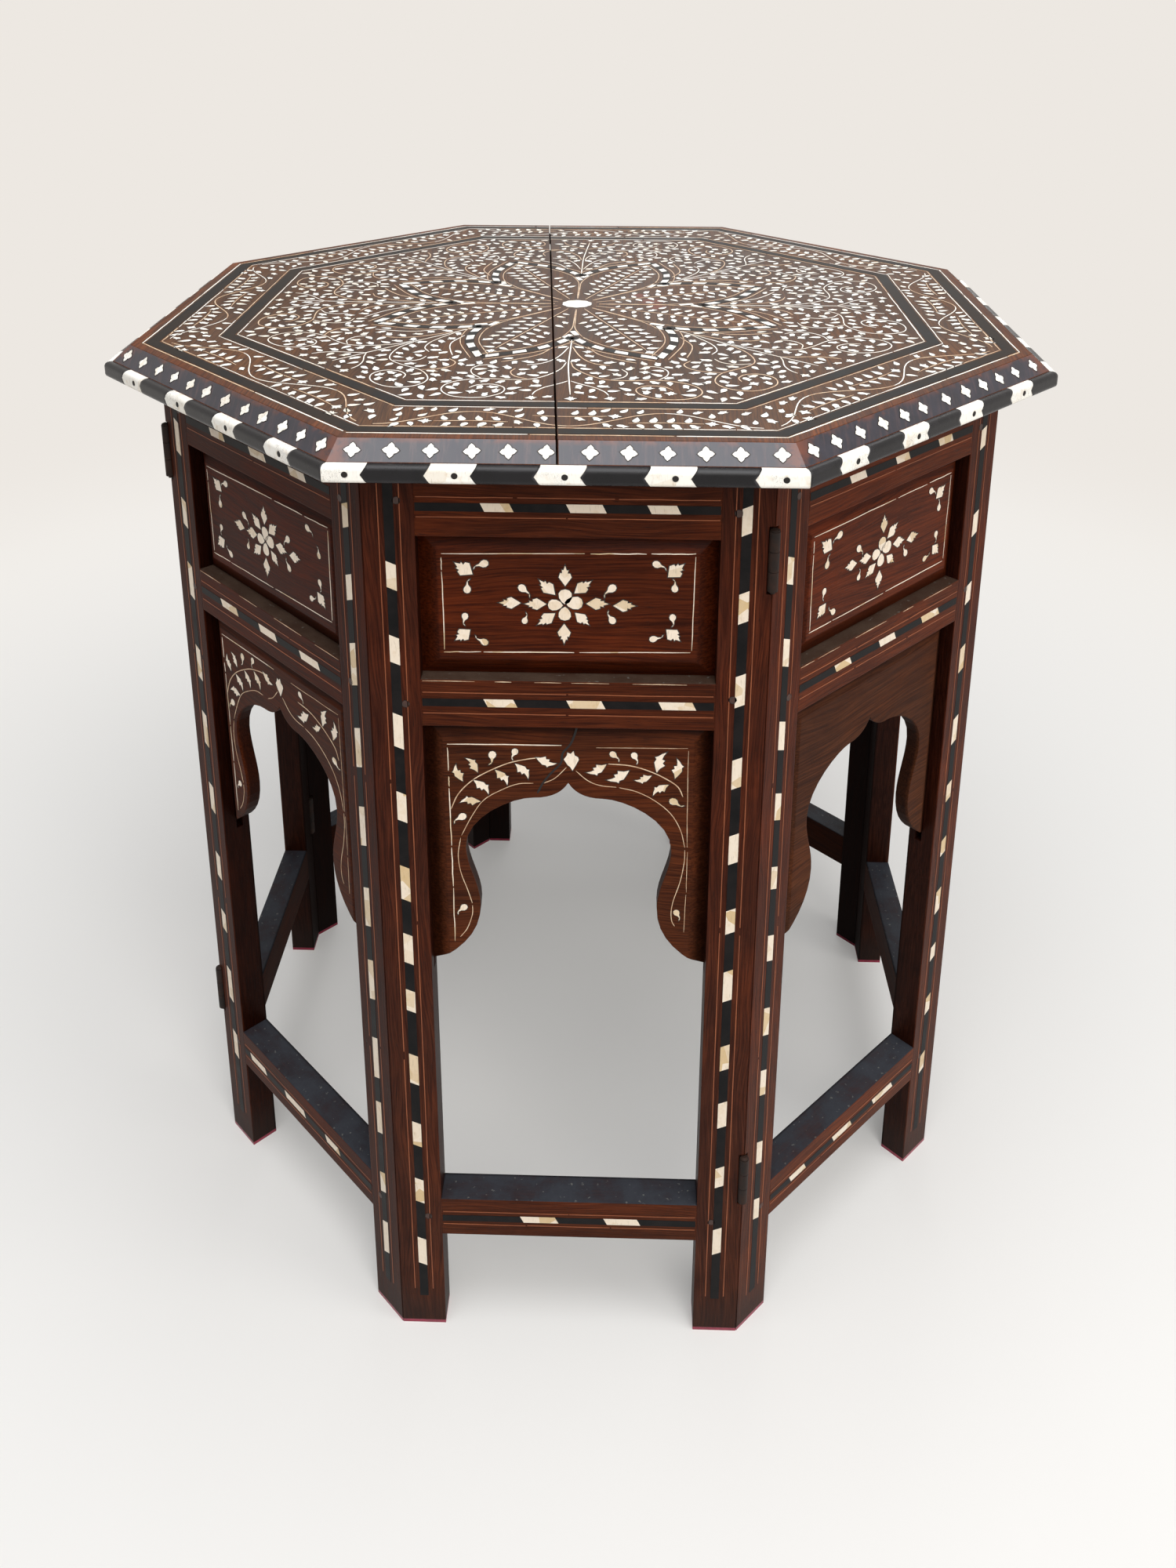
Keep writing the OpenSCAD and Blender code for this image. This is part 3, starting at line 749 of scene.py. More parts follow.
def plain_finish(name, low, high, scale, rough, streaky=1.0, specular=0.5, depth=0.00006, more=None):
    """Two tones of one stuff, clouded and lightly pitted: ebony, filler, iron, felt and the fine lines."""
    web = Finish(name)
    cloud = web.noise(web.stretched(web.place, 1, streaky, 1), scale)
    fine = web.noise(web.place, scale * 9, 3.0)
    body = web.blend(web.span(cloud, 0.34, 0.68), low, high)
    body = web.tinged(web.span(fine, 0.55, 0.8, 0.0, 0.4), body, (1.6, 1.5, 1.45))
    rough = web.plus(web.times(cloud, 0.25), rough - 0.1)
    return web.shaded(body, rough, specular, web.bump(fine, depth, 0.6), more)


def rim_finish():
    """Ebony rim blocks: satin black with rubbed grey edges."""
    web = Finish("ebony_rim")
    worn = web.use("edge_wear", Point=web.place, Radius=0.0024)
    cloud = web.noise(web.place, 60)
    body = web.blend(cloud, tint(6, 6, 8), tint(20, 18, 22))
    body = web.blend(web.times(worn["Worn"], 0.5), body, tint(92, 88, 92))
    normal = web.bump(web.noise(web.place, 260, 4.0, 0.5), 0.00012, 0.5, worn["Normal"])
    return web.shaded(body, web.math("MULTIPLY_ADD", cloud, 0.3, 0.14), 0.35, normal)


def batten_finish(paint):
    web = Finish("batten_wood")
    x, y, z = web.split(web.place)
    grain = web.use("wood_grain", Point=web.merge(y, z, x), Wood=scaled(paint.top, 0.6, 0.6, 0.6), Figure=0.4)
    return web.shaded(grain["Color"], web.plus(grain["Rough"], 0.45), None, web.bump(grain["Height"], 0.0002, 0.6))


def dress(cad, finish):
    if not cad.material_slots:
        cad.data.materials.append(finish)
    for slot in cad.material_slots:
        slot.material = finish


# Painted light and shade: each side's woods are lightened or darkened by how much light falls on that side; the front
# left one is seen through more glare, so its woods are mixed warmer
SIDE_PAINTED_LIGHT = (1.0, 1.35, 1.1, 0.9, 0.95, 0.9, 0.95, 0.74)
GLARE_SIDE, GLARE_TONE = 7, (1.0, 0.82, 0.62)
DULL_ARCHES, DULL_TONE = (1, 2), (0.66, 0.8, 0.95)


class TABLE_OT_finishes(bpy.types.Operator):
    """Mixes the woods, bone, ebony, iron and felt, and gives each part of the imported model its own"""
    bl_idname = "table.finishes"
    bl_label = "Finishes"

    def execute(self, context):
        paint = context.scene.table_colours
        for build, takes in EFFECTS:
            build_group(build, takes)
        bevel_finish()
        bone_finish("bone_inlay", paint, 0.8, (0.95, 0.84, 0.74))
        bone_finish("bone_band", paint, 1.0, (0.88, 0.78, 0.68))
        bone_finish("bone_top", paint, 0.35)
        for row in (
            ("ebony_inlay", tint(9, 9, 10), tint(23, 20, 20), 70, 0.45, 0.2, 0.12),
            ("ebony_top", tint(15, 13, 12), tint(40, 32, 26), 60, 0.5, 0.3, 0.08),
            ("mastic", paint.mastic, tint(36, 26, 19), 200, 0.55),
            ("line_wood", paint.line, tint(150, 86, 52), 45, 0.45, 1.0, 0.25),
            ("pale_line", tint(190, 152, 118), tint(226, 202, 170), 160, 0.45, 1.0, 0.3),
            ("peg_wood", tint(44, 24, 17), tint(66, 36, 24), 300, 0.5),
        ):
            plain_finish(*row)
        dark = plain_finish("crack_dark", tint(12, 8, 6), tint(24, 14, 10), 200, 0.8)
        iron = plain_finish("old_iron", paint.iron, tint(50, 34, 27), 90, 0.6, 1.0, 0.2, 0.0002, {"Metallic": 0.2})
        nap = {"Sheen Weight": 0.4, "Sheen Roughness": 0.5}
        felt = plain_finish("crimson_felt", scaled(paint.felt, 0.7, 0.7, 0.7), paint.felt, 260, 0.9, 1.0, 0.2, 0.0004, nap)
        boards = top_wood(paint)
        for part, finish in {
            "top_board_left": boards, "top_board_right": boards, "rim_ebony_blocks": rim_finish(),
            "rim_bone_blocks": bone_finish("bone_rim", paint, 0.25, cracked=True), "rim_pins": dark,
            "top_battens": batten_finish(paint), "batten_screws": iron,
        }.items():
            dress(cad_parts[part], finish)
        for side, name in enumerate(SIDES):
            # painted light and shade: this side's woods are scaled by how lit the side is, and warmed on the glare side
            tone = scaled(GLARE_TONE if side == GLARE_SIDE else (1, 1, 1), *[SIDE_PAINTED_LIGHT[side]] * 3)
            dull = side in DULL_ARCHES
            stile, rail, panel, arch = (scaled(wood, *tone) for wood in (paint.stile, paint.rail, paint.panel, paint.arch))
            arch = scaled(arch, *DULL_TONE) if dull else arch
            for part, finish in {
                "stiles": frame_wood("stile", side, stile, False, 0.75, scuffed=1.0, recess_shade=STILE_RECESS_SHADE),
                "rails": frame_wood("rail", side, rail, True, 0.7, 1.0, 0.36, scuffed=0.6),
                "upper_panel": frame_wood("panel", side, scaled(panel, 1.04, 1, 1), True, 0.25, 0.6, 0.30, field=True),
                "arch_panel": frame_wood(
                    "arch", side, arch, True, 0.75, 0.5, 0.5 if dull else 0.36, scuffed=0.9, recess_shade=ARCH_RECESS_SHADE,
                ),
                "hinge_leaves": iron, "hinge_pins": iron, "felt_pads": felt,
            }.items():
                # only the diagonal frames carry hinge pins
                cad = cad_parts.get(f"{name}_{part}")
                if cad is not None:
                    dress(cad, finish)
        return {"FINISHED"}


# Bands of the frames: from where to where each bone piece runs, by side and then by stile, left and right, or by
# rail from the top, measured on the three sides that the photograph shows
STILE_BONES = {
    0: (
        [(552.7, 568.6), (506, 523), (451, 473), (401, 420.5), (345, 369), (298.5, 320),
         (262, 278), (205, 228), (154.5, 173.5), (107, 126.5), (53, 75.5)],
        [(588.5, 604.8), (535, 553.5), (482, 502), (428, 447.5), (376, 396), (326, 343),
         (275.6, 298), (222, 241), (176, 196), (126.5, 142.7), (69, 90.5)],
    ),
    1: (
        [(553.8, 570.5), (502, 519.6), (447, 466), (399, 417.5), (350, 366), (297, 316),
         (239.8, 261), (192, 212), (135.5, 153.5), (88, 105)],
        [(585.8, 599.5), (524.8, 540.7), (475, 488.8), (423.3, 441.9), (367, 387), (320.5, 334.3),
         (274.8, 288), (225, 244.3), (183.4, 195.5), (134.6, 149.8), (79.7, 95.9)],
    ),
    7: (
        [(575.1, 598), (523, 542), (470, 495), (407.4, 431.8), (354, 380), (299, 321.5),
         (242, 262.6), (195.5, 212), (131.5, 160.5), (78, 101)],
        [(584.9, 599.5), (540, 555.9), (485.2, 512.6), (430.3, 456.8), (375.4, 402.9), (316.6, 345),
         (261, 291), (198.6, 230.6), (152.9, 178.8), (102.6, 119.3), (49.2, 76.6)],
    ),
}
RAIL_BONES = {
    0: (
        [(-46.5, -30.5), (0.5, 20.3), (44.7, 60.7)],
        [(-47, -30), (0.4, 20.4), (52.9, 72.2)],
        [(-82, -68), (-31, -8), (24, 46)],
    ),
    1: (
        [(-46, -31), (-0.6, 13), (45, 60)],
        [(-48.8, -33.5), (-3.6, 13), (42.7, 61.9)],
        [(-62, -45.7), (-14, 7), (33.6, 57.3)],
    ),
    7: (
        [(-52, -35), (-4, 14), (41, 58)],
        [(-56.7, -36.3), (-8.8, 11), (39, 59.8)],
        [(-74.4, -53), (-25.6, 0.3), (27.8, 44.5)],
    ),
}
STILE_MID, STILE_LINES = 97.9, (91.8, 103.9)
BAND_TOP, LINE_TOP, RAIL_EDGE = 627.6, 627, 495.2
RAIL_MIDS, RAIL_LINES = (602.5, 481.4, 94.0), (596.6, 608.4, 487.8, 474.4, 99.4, 88.8)
OPEN_HALF = 84.0
BAND_SLANT = -2.4


def side_bones(table, side):
    """The side's own bones, or those of a measured side shifted a little."""
    if side in table:
        return table[side]
    chance = random.Random(side)
    source = table[(0, 7, 1)[side % 3]]
    return [[(a + d, b + d) for a, b in row for d in [chance.uniform(-4, 4)]] for row in source]


def chequer(low, high, bones, across, width, slant, upright):
    """Outlines of bone and ebony pieces filling a band between two ends, each (kind, outline)."""
    bones = sorted(b for b in bones if b[0] > low + 2 and b[1] < high - 2)
    marks = [low] + [m for pair in bones for m in pair] + [high]
    out = []
    for k, (a, b) in enumerate(zip(marks, marks[1:])):
        sa, sb = (0 if k == 0 else slant / 2), (0 if k == len(marks) - 2 else slant / 2)
        quad = [(a - sa, -width / 2), (b - sb, -width / 2), (b + sb, width / 2), (a + sa, width / 2)]
        quad = [(across - y, x) if upright else (x, across + y) for x, y in quad]
        out.append(("bone" if k % 2 else "ebony", quad))
    return out


def wandering(start, stop, chance, steps, amount):
    """A path of so many steps from one point to another, each point a little off."""
    start, stop = Vector(start), Vector(stop)
    return [
        tuple(start.lerp(stop, k / steps) + Vector((amount * chance.uniform(-1, 1), amount * chance.uniform(-1, 1))))
        for k in range(steps + 1)
    ]


class TABLE_OT_frame_bands(bpy.types.Operator):
    """Lays the chequered bands and fine lines into the stiles and rails of the eight frames"""
    bl_idname = "table.frame_bands"
    bl_label = "Frame Bands"

    def execute(self, context):
        size = sizes()
        wide, narrow = size.stile_band / MM, size.rail_band / MM
        for side, name in enumerate(SIDES):
            chance = random.Random(40 + side)
            runs = []
            for bones, sign in zip(side_bones(STILE_BONES, side), (-1, 1)):
                foot = chance.uniform(20, 30)
                # the bones' ends slant up towards the outer edge on both stiles
                runs += chequer(foot, BAND_TOP, bones, sign * STILE_MID, wide, BAND_SLANT * sign, True)
            half = OPEN_HALF - 0.6
            for bones, mid in zip(side_bones(RAIL_BONES, side), RAIL_MIDS):
                runs += chequer(-half, half, bones, mid, narrow, BAND_SLANT, False)
            pieces = {"bone": [], "ebony": []}
            for kind, quad in runs:
                pieces[kind].append(sheet(quad))
            half = OPEN_HALF - 1.0
            lines = [[(sign * x, foot + 2), (sign * x, LINE_TOP)] for sign in (-1, 1) for x in STILE_LINES]
            lines += [[(-half, z), (half, z)] for z in RAIL_LINES]
            fine = []
            for path in lines:
                start, stop = Vector(path[0]), Vector(path[1])
                bits = 2 + chance.randrange(2)
                for bit in range(bits):
                    a = start.lerp(stop, bit / bits + (0.002 if bit else 0))
                    b = start.lerp(stop, (bit + 1) / bits - (chance.uniform(0.0, 0.012) if bit < bits - 1 else 0))
                    fine.append(ribbon(wandering(a, b, chance, 5, 0.14), size.fine_line / MM))
            # the middle rail's upper edge shows as short pale bits
            edge, at = [], -half
            while at < half - 12:
                to = min(at + chance.uniform(9, 34), half)
                route = [(at, RAIL_EDGE), ((at + to) / 2, RAIL_EDGE + 0.1), (to, RAIL_EDGE)]
                edge.append(ribbon(route, chance.uniform(0.3, 0.6), 0.3))
                at = to + chance.uniform(3, 26)
            for label, slot, *groups in (
                ("band_bone", "bone", (pieces["bone"], ("bone_band",), 0)),
                ("band_ebony", "ebony", (pieces["ebony"], ("ebony_inlay",), 0)),
                ("fine_lines", "wood", (fine, ("line_wood",), 0), (edge, ("pale_line",), 0)),
            ):
                settle(stand(inlaid(f"{name}_{label}", *groups), side, FACE), name)
        return {"FINISHED"}


# The upper panel's flower: (kind, tail point, tip point) measured on the front
PANEL_FLOWER = [
    ("lozenge", (-1.5, 553.3), (-1.5, 566.6)), ("lozenge", (-2.1, 530.4), (-2.2, 517.0)),
    ("lozenge", (-6.9, 547.9), (-16.4, 557.6)), ("lozenge", (3.4, 549.0), (13.6, 557.3)),
    ("lozenge", (-6.9, 536.8), (-17.6, 529.0)), ("lozenge", (3.9, 537.3), (12.3, 529.2)),
    ("lozenge", (-11.8, 542.3), (-24.9, 542.2)), ("lozenge", (-26.2, 542.7), (-39.3, 542.7)),
    ("lozenge", (10.0, 542.9), (23.4, 542.9)), ("lozenge", (25.2, 541.8), (38.6, 541.9)),
    ("drop", (-27.6, 553.8), (-20.2, 547.0)), ("drop_left", (-25.0, 529.6), (-22.6, 537.0)),
    ("drop_left", (26.8, 554.6), (19.2, 547.4)), ("drop", (26.3, 530.5), (21.5, 538.4)),
    ("drop_left", (-44.0, 567.6), (-53.6, 564.2)), ("drop", (-56.6, 548.0), (-56.0, 557.5)),
    ("drop", (46.9, 568.7), (55.6, 565.0)), ("drop_left", (59.7, 550.5), (59.6, 559.2)),
    ("drop_left", (-57.6, 536.2), (-59.4, 527.9)), ("drop", (-45.2, 516.6), (-53.4, 521.0)),
    ("drop", (58.6, 537.4), (59.6, 528.9)), ("drop_left", (45.8, 520.8), (54.4, 522.9)),
    ("corner", (-52.6, 559.6), (-63.9, 567.6)), ("corner", (55.2, 559.5), (65.2, 568.7)),
    ("corner", (-54.8, 525.9), (-64.6, 518.2)), ("corner", (55.0, 527.9), (64.0, 519.8)),
]
# Its four petals: (x, height, turn in degrees, size)
PETALS = [(-1.5, 546.9, 90, 1.0), (3.4, 543.2, 0, 1.06), (-1.8, 536.6, -90, 0.94), (-6.9, 541.8, 180, 0.92)]
PANEL_STRINGS = [
    [(-70.6, 572.4), (9.5, 573.6)], [(12.6, 573.5), (43.6, 573.9)], [(46.4, 573.9), (70.8, 574.2)],
    [(-70.6, 570.0), (-70.5, 562.4)], [(-70.5, 561.2), (-70.2, 512.6)], [(70.8, 572.6), (70.0, 514.6)],
    [(-70.6, 511.2), (-49.4, 511.6)], [(-48.0, 511.5), (3.4, 512.0)], [(6.4, 512.2), (69.4, 513.0)],
]


def cut_kinds(lip, rows, **outlines):
    """A blank of each kind that the rows name, with its reach; a name that ends in _left is the mirror image."""
    kinds = {}
    for name in sorted({kind for kind, tail, tip in rows}):
        outline, reach = outlines[name.removesuffix("_left")]
        shape = mirrored(outline) if name.endswith("_left") else outline
        kinds[name] = plate(name, shape, "mastic", "bone_inlay", lip=lip), reach
    return kinds


def laid(kinds, rows, side, chance, lost):
    """Copies a blank from each row's tail point to its tip; off the front, some are lost and the rest lie a little off."""
    pieces = []
    for kind, tail, tip in rows:
        if side and chance.random() < lost:
            continue
        tail, tip = Vector(tail), Vector(tip)
        piece, reach = kinds[kind]
        run, middle = tip - tail, (tail + tip) / 2
        turn, size = math.atan2(run.y, run.x), run.length / reach
        if side:
            turn += chance.uniform(-0.10, 0.10)
            size *= chance.uniform(0.95, 1.05)
            middle += Vector((chance.uniform(-0.5, 0.5), chance.uniform(-0.5, 0.5)))
        pieces.append(copy_of(piece, middle.x, middle.y, turn, size))
    return pieces


class TABLE_OT_panel_flowers(bpy.types.Operator):
    """Cuts the bone flowers, corner sprays and stringing of the upper panels"""
    bl_idname = "table.panel_flowers"
    bl_label = "Panel Flowers"

    def execute(self, context):
        size = sizes()
        lip = size.mastic * 1.25
        kinds = cut_kinds(
            lip, PANEL_FLOWER,
            lozenge=([(x * 1.03, y) for x, y in LOZENGE], 12.4),
            corner=([(x * 0.9, y * 1.12) for x, y in LOZENGE], 11.6),
            drop=(DROP, 9.2),
        )
        petal = plate("petal", PETAL, "mastic", "bone_inlay", lip=lip)
        for side, name in enumerate(SIDES):
            chance = random.Random(70 + side)
            pieces = laid(kinds, PANEL_FLOWER, side, chance, 0.04)
            pieces += [copy_of(petal, x, z, math.radians(a), s) for x, z, a, s in PETALS]
            strings = [
                ribbon(wandering(*path, chance, 6, 0.16), size.bone_line / MM * chance.uniform(0.5, 0.8), 0.5)
                for path in PANEL_STRINGS
            ]
            whole = inlaid(f"{name}_panel_flower", pieces, (strings, ("bone_inlay",), 0))
            settle(stand(whole, side, FIELD_FACE), name)
        drop(petal, *(piece for piece, reach in kinds.values()))
        return {"FINISHED"}


# The arch panel's branches and lines, measured on the front
ARCH_LEAVES = [
    ("barbed", (-61.0, 426.4), (-68.0, 435.8)), ("barbed_left", (-54.2, 431.6), (-57.6, 442.4)),
    ("barbed_left", (-18.4, 444.2), (-8.4, 436.8)), ("barbed", (-56.6, 425.8), (-45.6, 419.8)),
    ("barbed", (-43.8, 433.2), (-34.2, 426.0)), ("barbed", (-32.0, 437.6), (-21.8, 430.6)),
    ("barbed_left", (-52.0, 410.9), (-63.6, 413.9)), ("barbed", (53.2, 433.9), (54.0, 448.0)),
    ("barbed_left", (61.2, 430.6), (66.2, 442.6)), ("barbed", (21.6, 440.2), (12.8, 431.2)),
    ("barbed", (34.8, 436.4), (25.0, 426.2)), ("barbed", (48.4, 433.0), (40.2, 426.8)),
    ("barbed_left", (59.6, 425.0), (48.9, 420.9)), ("drop", (-44.0, 447.2), (-45.2, 436.6)),
    ("drop_left", (-30.1, 449.0), (-33.7, 440.6)), ("drop_left", (-60.4, 403.2), (-69.4, 397.4)),
    ("drop_left", (-61.6, 338.8), (-68.8, 332.0)), ("drop", (24.2, 447.7), (30.9, 441.4)),
    ("drop", (37.4, 447.7), (41.4, 439.5)), ("drop_left", (59.4, 416.4), (68.2, 410.3)),
    ("drop", (64.3, 338.4), (68.4, 330.4)),
]
ARCH_STEMS = [
    [(-69.6, 406.6), (-65.1, 417.0), (-57.1, 426.1), (-47.4, 432.7), (-35.2, 438.7), (-24.4, 441.6), (-17.8, 442.6)],
    [(67.5, 417.9), (64.5, 424.5), (57.9, 429.6), (48.4, 434.6), (36.5, 438.4), (23.4, 439.4)],
]
ARCH_EDGE_LINES = [
    [(-1.1, 436.5), (-7.7, 429.2), (-14.3, 425.6)],
    [(-20.5, 425.4), (-29.4, 424.8), (-39.1, 420.6), (-50.1, 413.2), (-57.5, 401.6), (-63.8, 388.4)],
    [(-64.4, 386.6), (-66.2, 374.5), (-64.9, 362.1), (-61.1, 349.7), (-58.5, 340.0)],
    [(-58.4, 338.4), (-58.7, 331.6), (-61.9, 321.6), (-66.4, 315.0)],
    [(4.5, 434.3), (11.4, 427.9), (18.6, 424.7), (28.2, 423.7)],
    [(30.0, 423.4), (40.1, 420.9), (50.9, 415.0), (60.5, 406.2), (66.6, 394.9), (69.4, 382.8)],
    [(69.5, 381.0), (69.3, 371.8), (67.1, 358.0), (63.6, 345.4), (62.3, 336.9), (62.8, 330.0), (64.6, 326.1)],
]
# Those that start left of the middle are of bone, the others of pale wood
ARCH_STRINGS = [
    [(-70.6, 450.9), (-4.0, 451.4)], [(16.2, 450.0), (69.7, 450.8)], [(-70.6, 448.4), (-70.4, 433.0)],
    [(-70.4, 429.0), (-70.3, 422.0)], [(-70.3, 421.0), (-70.0, 381.0)], [(-70.0, 379.6), (-69.8, 352.0)],
    [(-69.8, 350.6), (-69.7, 312.0)], [(69.9, 449.0), (70.7, 383.0)], [(71.0, 379.6), (71.0, 351.0)],
    [(70.9, 349.0), (70.4, 322.0)],
]
PEGS = ((93.8, 486), (-93.0, 480), (-93.4, 606), (93.2, 601), (-92.8, 95), (93.6, 96))
CRACK = [
    (5.5, 465.5), (3.6, 458.0), (1.2, 452.0), (-3.2, 446.0),
    (-4.3, 439.4), (-10.1, 432.5), (-14.9, 425.6), (-18.2, 418.6),
]


class TABLE_OT_arch_branches(bpy.types.Operator):
    """Cuts the leafy branches and stringing round the arches, left off the plain panel at the front right"""
    bl_idname = "table.arch_branches"
    bl_label = "Arch Branches"

    def execute(self, context):
        thick = sizes().bone_line / MM
        lip = sizes().mastic
        kinds = cut_kinds(lip, ARCH_LEAVES, barbed=(BARBED, 11.0), drop=(DROP, 9.9))
        apex = plate("apex", APEX, "mastic", "bone_inlay", lip=lip)
        for side, name in enumerate(SIDES):
            if side == PLAIN_ARCH_SIDE:
                continue
            chance = random.Random(90 + side)
            pieces = laid(kinds, ARCH_LEAVES, side, chance, 0.08)
            pieces.append(copy_of(apex, 1.9, 441.6))
            stems = [ribbon(curve(stem, 4), thick * 0.75, 0.5) for stem in ARCH_STEMS]
            pale = [ribbon(curve(line, 4), thick * 0.55, 0.4) for line in ARCH_EDGE_LINES]
            strings = []
            for path in ARCH_STRINGS:
                bone = path[0][0] < 0
                route = wandering(*path, chance, 6, 0.16)
                string = ribbon(route, thick * chance.uniform(0.7, 1.1) * (0.8 if bone else 0.5), 0.5)
                (strings if bone else pale).append(string)
            groups = (stems + pale, ("pale_line",), 0), (strings, ("bone_inlay",), 0)
            settle(stand(inlaid(f"{name}_arch_branch", pieces, *groups), side, FIELD_FACE), name)
        drop(apex, *(piece for piece, reach in kinds.values()))
        return {"FINISHED"}


class TABLE_OT_pegs(bpy.types.Operator):
    """Shows the peg ends over the joints and the old crack of the front arch"""
    bl_idname = "table.pegs"
    bl_label = "Pegs and Crack"

    def execute(self, context):
        for side, name in enumerate(SIDES):
            chance = random.Random(20 + side)
            pegs = []
            for x, z in PEGS:
                around = []
                for k in range(14):
                    a, r = k * math.tau / 14, 2.35 + chance.uniform(-0.18, 0.18)
                    around.append((x + r * math.cos(a), z + r * math.sin(a)))
                pegs.append(sheet(around))
            settle(stand(raised(f"{name}_pegs", pegs, "crack_dark", "peg_wood", lip=0.00028), side, FACE), name)
        crack = raised("front_arch_crack", [ribbon(curve(CRACK, 4), 1.25, 0.5)], "crack_dark")
        settle(stand(crack, 0, FIELD_FACE), "front")
        return {"FINISHED"}


# The top: points are given as along and out on one side's own axes
def on_side(side, along, out):
    a = side * TURN
    return along * math.cos(a) + out * math.sin(a), along * math.sin(a) - out * math.cos(a)


def on_top(side, along, out):
    """The same, but drawn towards the rosette the nearer it is."""
    x, y = on_side(side, along, out)
    pull = min(max((226 - math.hypot(x, y)) / 70, 0), 1)
    return x + CENTRE[0] * pull, y + CENTRE[1] * pull


def lay_on_top(name, slot, cut, *groups):
    """Raises the groups, lifts them onto the table top and, where they cross the seam, cuts them there."""
    whole = inlaid(name, *groups)
    whole.data.transform(Matrix.Translation((0, 0, TOP_Z * MM)))
    return settle(cut_at_seam(whole) if cut else whole, "top")


class Lines:
    """Thin lines of the top, some of bone and some of pale wood."""

    def __init__(self):
        self.bone, self.pale = [], []

    def lay(self, name):
        lay_on_top(name, "bone", True, (self.bone, ("bone_top",), 0), (self.pale, ("pale_line",), 0))


class Leaves:
    """The top's leaf and diamond blanks, and their copies."""

    def __init__(self):
        def cut(name, outline):
            return plate(name, outline, "mastic", "bone_top", lip=sizes().mastic)
        self.blanks = [(cut(name, shape), cut(name + "_left", mirrored(shape))) for name, shape in LEAVES.items()]
        self.diamond_blank = cut("diamond", DIAMOND)
        self.made = []

    def leaf(self, kind, left, x, y, turn, scale):
        self.made.append(copy_of(self.blanks[kind][left], x, y, turn, scale))

    def diamond(self, x, y, turn, scale):
        self.made.append(copy_of(self.diamond_blank, x, y, turn, scale))

    def lay(self, name):
        lay_on_top(name, "bone", False, self.made)
        drop(self.diamond_blank, *(piece for pair in self.blanks for piece in pair))


# Leaf kinds by chance: half of them commas
KIND_CHANCES = (0, 0, 1, 2)
# The ebony bands' inner edges, and each thin line: how far out, how wide, how much of it is worn pale
TOP_BANDS = (228.0, 272.5)
TOP_LINES = ((226.5, 0.8, 0.05), (237.5, 0.7, 0.1), (271.0, 0.7, 0.12), (282.0, 0.9, 0.05))


class TABLE_OT_top_bands(bpy.types.Operator):
    """Lays the two ebony bands and the thin lines that frame the top's field and border"""
    bl_idname = "table.top_bands"
    bl_label = "Top Bands"

    def execute(self, context):
        broad = sizes().top_band / MM
        bands, lines = [], Lines()
        chance = random.Random(5)
        for side in range(8):
            for low in TOP_BANDS:
                high = low + broad
                quad = [(-high * SLOPE, high), (high * SLOPE, high), (low * SLOPE, low), (-low * SLOPE, low)]
                bands.append(sheet([on_side(side, *p) for p in quad]))
            for out, width, worn in TOP_LINES:
                half = out * SLOPE
                at = -half
                while at < half - 2:
                    to = min(at + chance.uniform(45, 110), half)
                    path = [(at + (to - at) * k / 8, out - chance.uniform(-0.16, 0.16)) for k in range(9)]
                    group = lines.bone if chance.random() > worn * 3 else lines.pale
                    group.append(ribbon([on_side(side, *p) for p in path], width * chance.uniform(0.8, 1.15), 0.6))
                    at = to + chance.uniform(0.3, 1.6)
        lay_on_top("top_ebony_bands", "ebony", True, (bands, ("ebony_top",), 0))
        lines.lay("top_lines")
        return {"FINISHED"}


# Half of one petal's edge, from the notch on the side's axis to the tip on the corner's: (degrees from the side, reach)
PETAL_EDGE = [
    (0.0, 88.0), (2.6, 96.5), (5.7, 105.5), (9.5, 116.0),
    (13.2, 125.0), (17.0, 133.2), (20.0, 140.5), (22.5, 147.5),
]
# Half the room inside a petal: (out along its axis, to the side)
PETAL_ROOM = [(0, 0), (81.3, 33.7), (100.5, 30.3), (123.4, 20.2), (132.4, 12.7), (147.5, 0)]
# Two bones set crosswise where two petals part, and the line that parts them
VEES = [[(-2.6, 74.6), (1.6, 72.8), (5.0, 83.4), (1.0, 85.0)], [(-2.8, 81.0), (1.2, 83.6), (-4.0, 91.6), (-7.6, 89.0)]]
PARTING = [(0.3, 16), (0.5, 50), (1.0, 66), (4.2, 80), (8.2, 92)]
ROSETTE_CORNERS = 48


def stepped(table, at, beyond):
    """A table of points read as a function, straight between them."""
    for (a0, b0), (a1, b1) in zip(table, table[1:]):
        if a0 <= at <= a1:
            return b0 + (b1 - b0) * (at - a0) / (a1 - a0)
    return beyond


def quad_sheet(side, quad):
    """A face with four corners on the top, turned to look up."""
    quad = [on_top(side, *p) for p in quad]
    area = sum(a[0] * b[1] - b[0] * a[1] for a, b in zip(quad, quad[1:] + quad[:1]))
    return sheet(quad if area > 0 else quad[::-1])


def walked(path, sign):
    """The length of a path, and a function that gives the point so far along it and so far to its outer side."""
    marks = [0.0]
    for a, b in zip(path, path[1:]):
        marks.append(marks[-1] + math.dist(a, b))

    def at(distance, across=0.0):
        distance = min(max(distance, 0), marks[-1] - 1e-6)
        k = max(i for i, m in enumerate(marks[:-1]) if m <= distance)
        a, b = Vector(path[k]), Vector(path[k + 1])
        run = (b - a).normalized()
        spot = a.lerp(b, (distance - marks[k]) / (marks[k + 1] - marks[k])) + Vector((-run.y, run.x)) * across * sign
        return spot.x, spot.y
    return marks[-1], at


